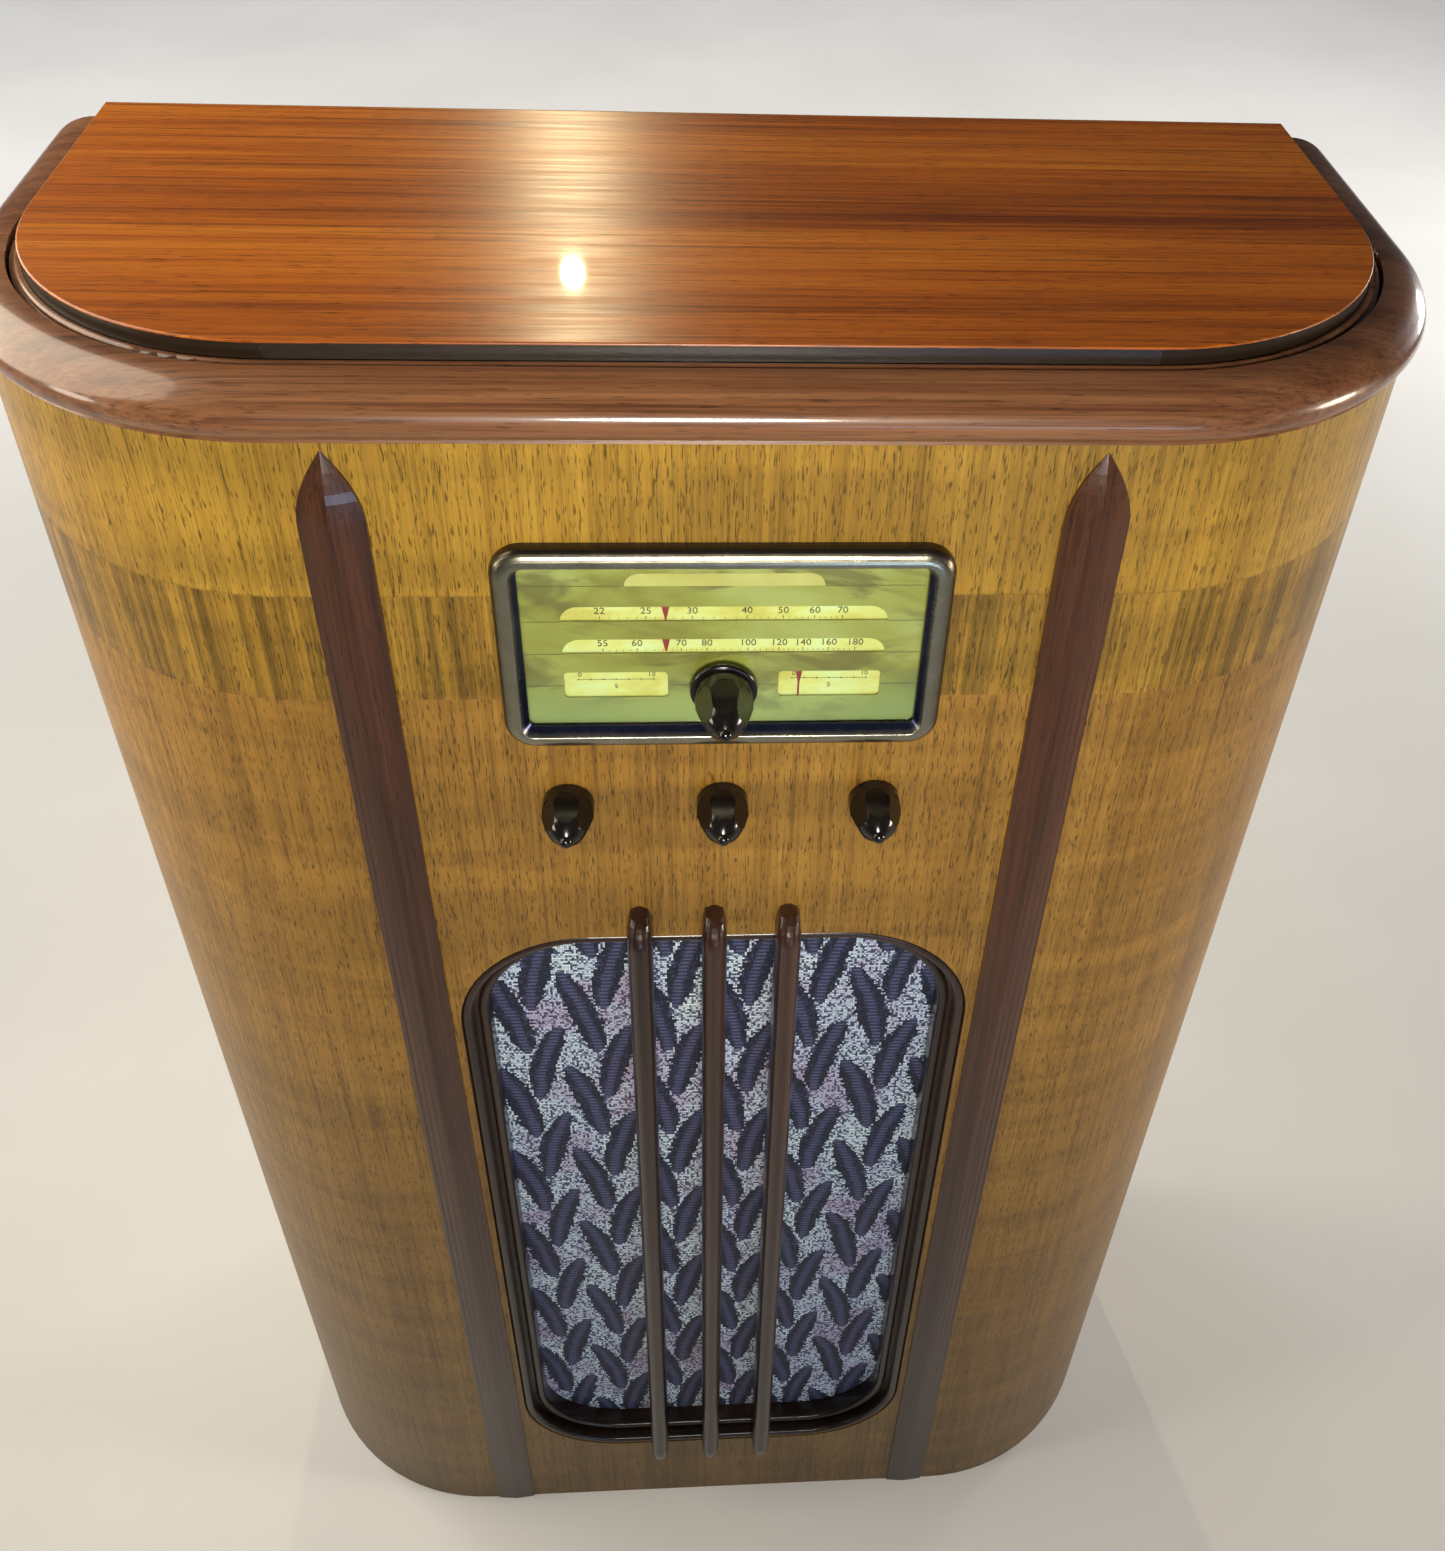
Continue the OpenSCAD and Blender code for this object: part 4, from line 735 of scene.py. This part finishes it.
def dial_numbers(cx, scales, small_windows, back):
    """Numbers and ticks on the pale plate behind the windows."""
    bm = bmesh.new()
    steps = 5
    for foot, marks in scales:
        for value, x in marks.items():
            figure(bm, str(value), cx + x * MM, foot + 0.0044, 0.0034, back)
            tick(bm, cx + x * MM, 0.00018, foot + 0.0002, foot + 0.0016, back)
        spots = sorted(marks.values())
        for a, b in zip(spots, spots[1:]):
            for k in range(1, steps):
                x = cx + (a + (b - a) * k / steps) * MM
                tick(bm, x, 0.00011, foot + 0.0002, foot + 0.0010, back)
    start, reach, ticks = 0.006, 0.033, 7
    for x0, z in small_windows:
        block(bm, x0 + start, x0 + start + reach, z - 0.00009, z + 0.00009, back)
        for k in range(ticks):
            tick(bm, x0 + start + reach * k / (ticks - 1), 0.00025, z - 0.0004, z + 0.0004, back)
        for text, x, rise in (("0", 0.0068, 0.0027), ("5", 0.0225, -0.0040), ("10", 0.0380, 0.0027)):
            figure(bm, text, x0 + x, z + rise, 0.0024, back)
    printed("dial_numbers", bm, ink("dial_ink", srgb(70, 58, 34)))


def dial_rules(rows, back):
    """Ruled lines across the olive mask, broken where the windows are."""
    bm = bmesh.new()
    hair = 0.00014
    for z, spans in rows:
        for a, b in spans:
            block(bm, a, b, z - hair, z + hair, back)
    printed("dial_rules", bm, ink("dial_rule_ink", srgb(84, 76, 30)))


def blank_plate(left, right, foot, front):
    """A blank pale plate with two round upper corners, where such dials carry a name."""
    r, steps = 0.0064, 8
    turns = [math.pi / 2 * k / steps for k in range(steps + 1)]
    arc = [(right - r + r * math.cos(a), foot + r * math.sin(a)) for a in turns]
    arc += [(left + r - r * math.sin(a), foot + r * math.cos(a)) for a in turns]
    n = len(arc)
    verts = [(x, y, z) for y in (front - PRINT, front) for x, z in arc]
    faces = [tuple(range(n)), tuple(range(2 * n - 1, n - 1, -1))]
    faces += [(k, n + k, n + (k + 1) % n, (k + 1) % n) for k in range(n)]
    cream = enamel("plate_cream", srgb(184, 172, 92), srgb(206, 200, 126), 0.4)
    mesh_piece("dial_blank_plate", verts, faces, cream, "cabinet")


def dial_print():
    """All the print on the dial, laid out from the middle of the olive mask."""
    low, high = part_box("dial_mask")
    cx, cz = (low[0] + high[0]) / 2, (low[2] + high[2]) / 2
    mask_front, scale_front = low[1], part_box("dial_scale")[0][1]
    left, right = cx - 0.0694, cx + 0.0701
    short, medium, small_line = cz + 0.0125, cz - 0.0050, cz - 0.0207
    volume_end, tone_start, tone_end = left + 0.0451, cx + 0.0242, cx + 0.0693
    dial_numbers(cx, ((short, SHORT_WAVE), (medium, MEDIUM_WAVE)),
                 ((left, small_line), (tone_start, small_line)), scale_front)

    edge_l, edge_r = low[0] + 0.0022, high[0] - 0.0022
    plate_l, plate_r, plate_foot = cx - 0.0418, cx + 0.0422, cz + 0.0312
    beside_windows = ((edge_l, left), (right, edge_r))
    between_small = ((edge_l, left), (volume_end, tone_start), (tone_end, edge_r))
    dial_rules(((plate_foot, ((edge_l, plate_l), (plate_r, edge_r))), (short, beside_windows),
                (medium, beside_windows), (cz - 0.0228, between_small)), mask_front)
    blank_plate(plate_l, plate_r, plate_foot, mask_front)


# ---------- room ----------


def light(name, place, aim, power, colour, size, spread=180):
    """A soft light, round or (width, height); spread is the angle of its beam in degrees."""
    data = bpy.data.lights.new(name, "AREA")
    data.energy = power
    data.color = colour
    if isinstance(size, tuple):
        data.shape = "RECTANGLE"
        data.size, data.size_y = size
    else:
        data.shape = "DISK"
        data.size = size
    data.spread = math.radians(spread)
    obj = bpy.data.objects.new(name, data)
    obj.location = place
    obj.rotation_euler = (Vector(aim) - Vector(place)).to_track_quat("-Z", "Y").to_euler()
    bpy.context.scene.collection.objects.link(obj)


def room():
    """A plain pale floor under soft lights; the wide ones hang just below the top board, out of its sheen."""
    world = bpy.data.worlds.new("studio")
    bpy.context.scene.world = world
    world.use_nodes = True
    back = next(n for n in world.node_tree.nodes if n.type == "BACKGROUND")
    back.inputs["Color"].default_value = (0.80, 0.86, 0.95, 1)
    back.inputs["Strength"].default_value = 0.07
    g = Graph("pale_floor")
    cloud = g.noise(g.place(), 2.5, 4, 0.5)
    tones = g.ramp(cloud, (0.3, (0.76, 0.76, 0.75)), (0.7, (0.82, 0.82, 0.81)))
    half, drop = 6.0, 0.0005
    data = bpy.data.meshes.new("floor")
    data.from_pydata([(-half, -half, 0), (half, -half, 0), (half, half, 0), (-half, half, 0)], [],
                     [(0, 1, 2, 3)])
    data.materials.append(g.finish(Base_Color=tones, Roughness=0.7))
    floor = bpy.data.objects.new("floor", data)
    bpy.context.scene.collection.objects.link(floor)
    floor.location.z = -drop
    top = cad_box[1][2]
    light("lamp_over_top", (-0.27, 2.8, 2.35), (-0.06, 0.0, top), 15, (1.0, 0.82, 0.48), 0.05)
    light("key_left", (-0.86, 0.06, 1.38), (-0.12, 0.02, 0.97), 14, (1.0, 0.90, 0.72), 1.0)
    light("key_front", (0.0, -1.4, 1.36), (0.0, -0.13, 0.97), 3.4, (1.0, 0.94, 0.84), 0.35, 70)
    light("window_low", (0.75, -2.3, 0.42), (0.0, -0.1, 0.6), 7, (0.45, 0.66, 1.0), (1.1, 0.25))
    light("side_right", (1.5, -0.4, 0.80), (0.3, 0.0, 0.6), 4, (1.0, 0.88, 0.72), 0.4, 100)
    light("side_left", (-1.5, -0.5, 0.95), (-0.3, 0.0, 0.8), 1.6, (1.0, 0.90, 0.76), 0.4, 100)
    white = (1.0, 0.98, 0.96)
    for side in (-1, 1):
        x = side * 2.7
        light(f"fill_back_{side + 1}", (x, 2.0, 0.85), (0.0, 0.6, 0.2), 20, (1.0, 0.97, 0.94), 0.8)
        x = side * 2.2
        light(f"fill_side_{side + 1}", (x, 0.2, 0.90), (x, 0.2, 0.0), 9, white, (1.6, 2.6))
    light("fill_floor", (0.0, 3.1, 0.92), (0.0, 3.1, 0.0), 50, white, (6.0, 3.4))


def camera():
    """The viewpoint: a phone held above and a little left of the dial, looking down at the front."""
    right = Vector((0.99731, -0.06091, 0.04074))
    up = Vector((0.00964, 0.66012, 0.75109))
    forward = Vector((0.07263, 0.74868, -0.65894))
    data = bpy.data.cameras.new("camera")
    data.sensor_width = 36.0
    data.lens = 35.86
    data.shift_x = -0.0485
    data.shift_y = -0.0410
    data.clip_start = 0.05
    data.clip_end = 60.0
    cam = bpy.data.objects.new("camera", data)
    turn = Matrix((right, up, -forward)).transposed().to_4x4()
    cam.matrix_world = Matrix.Translation((-0.0151, -0.6506, 1.2773)) @ turn
    bpy.context.scene.collection.objects.link(cam)
    bpy.context.scene.camera = cam


bpy.context.scene.view_settings.view_transform = "Standard"
camera()
room()
finish_nodes()
grille_cloth()
glass_valves()
dial_print()
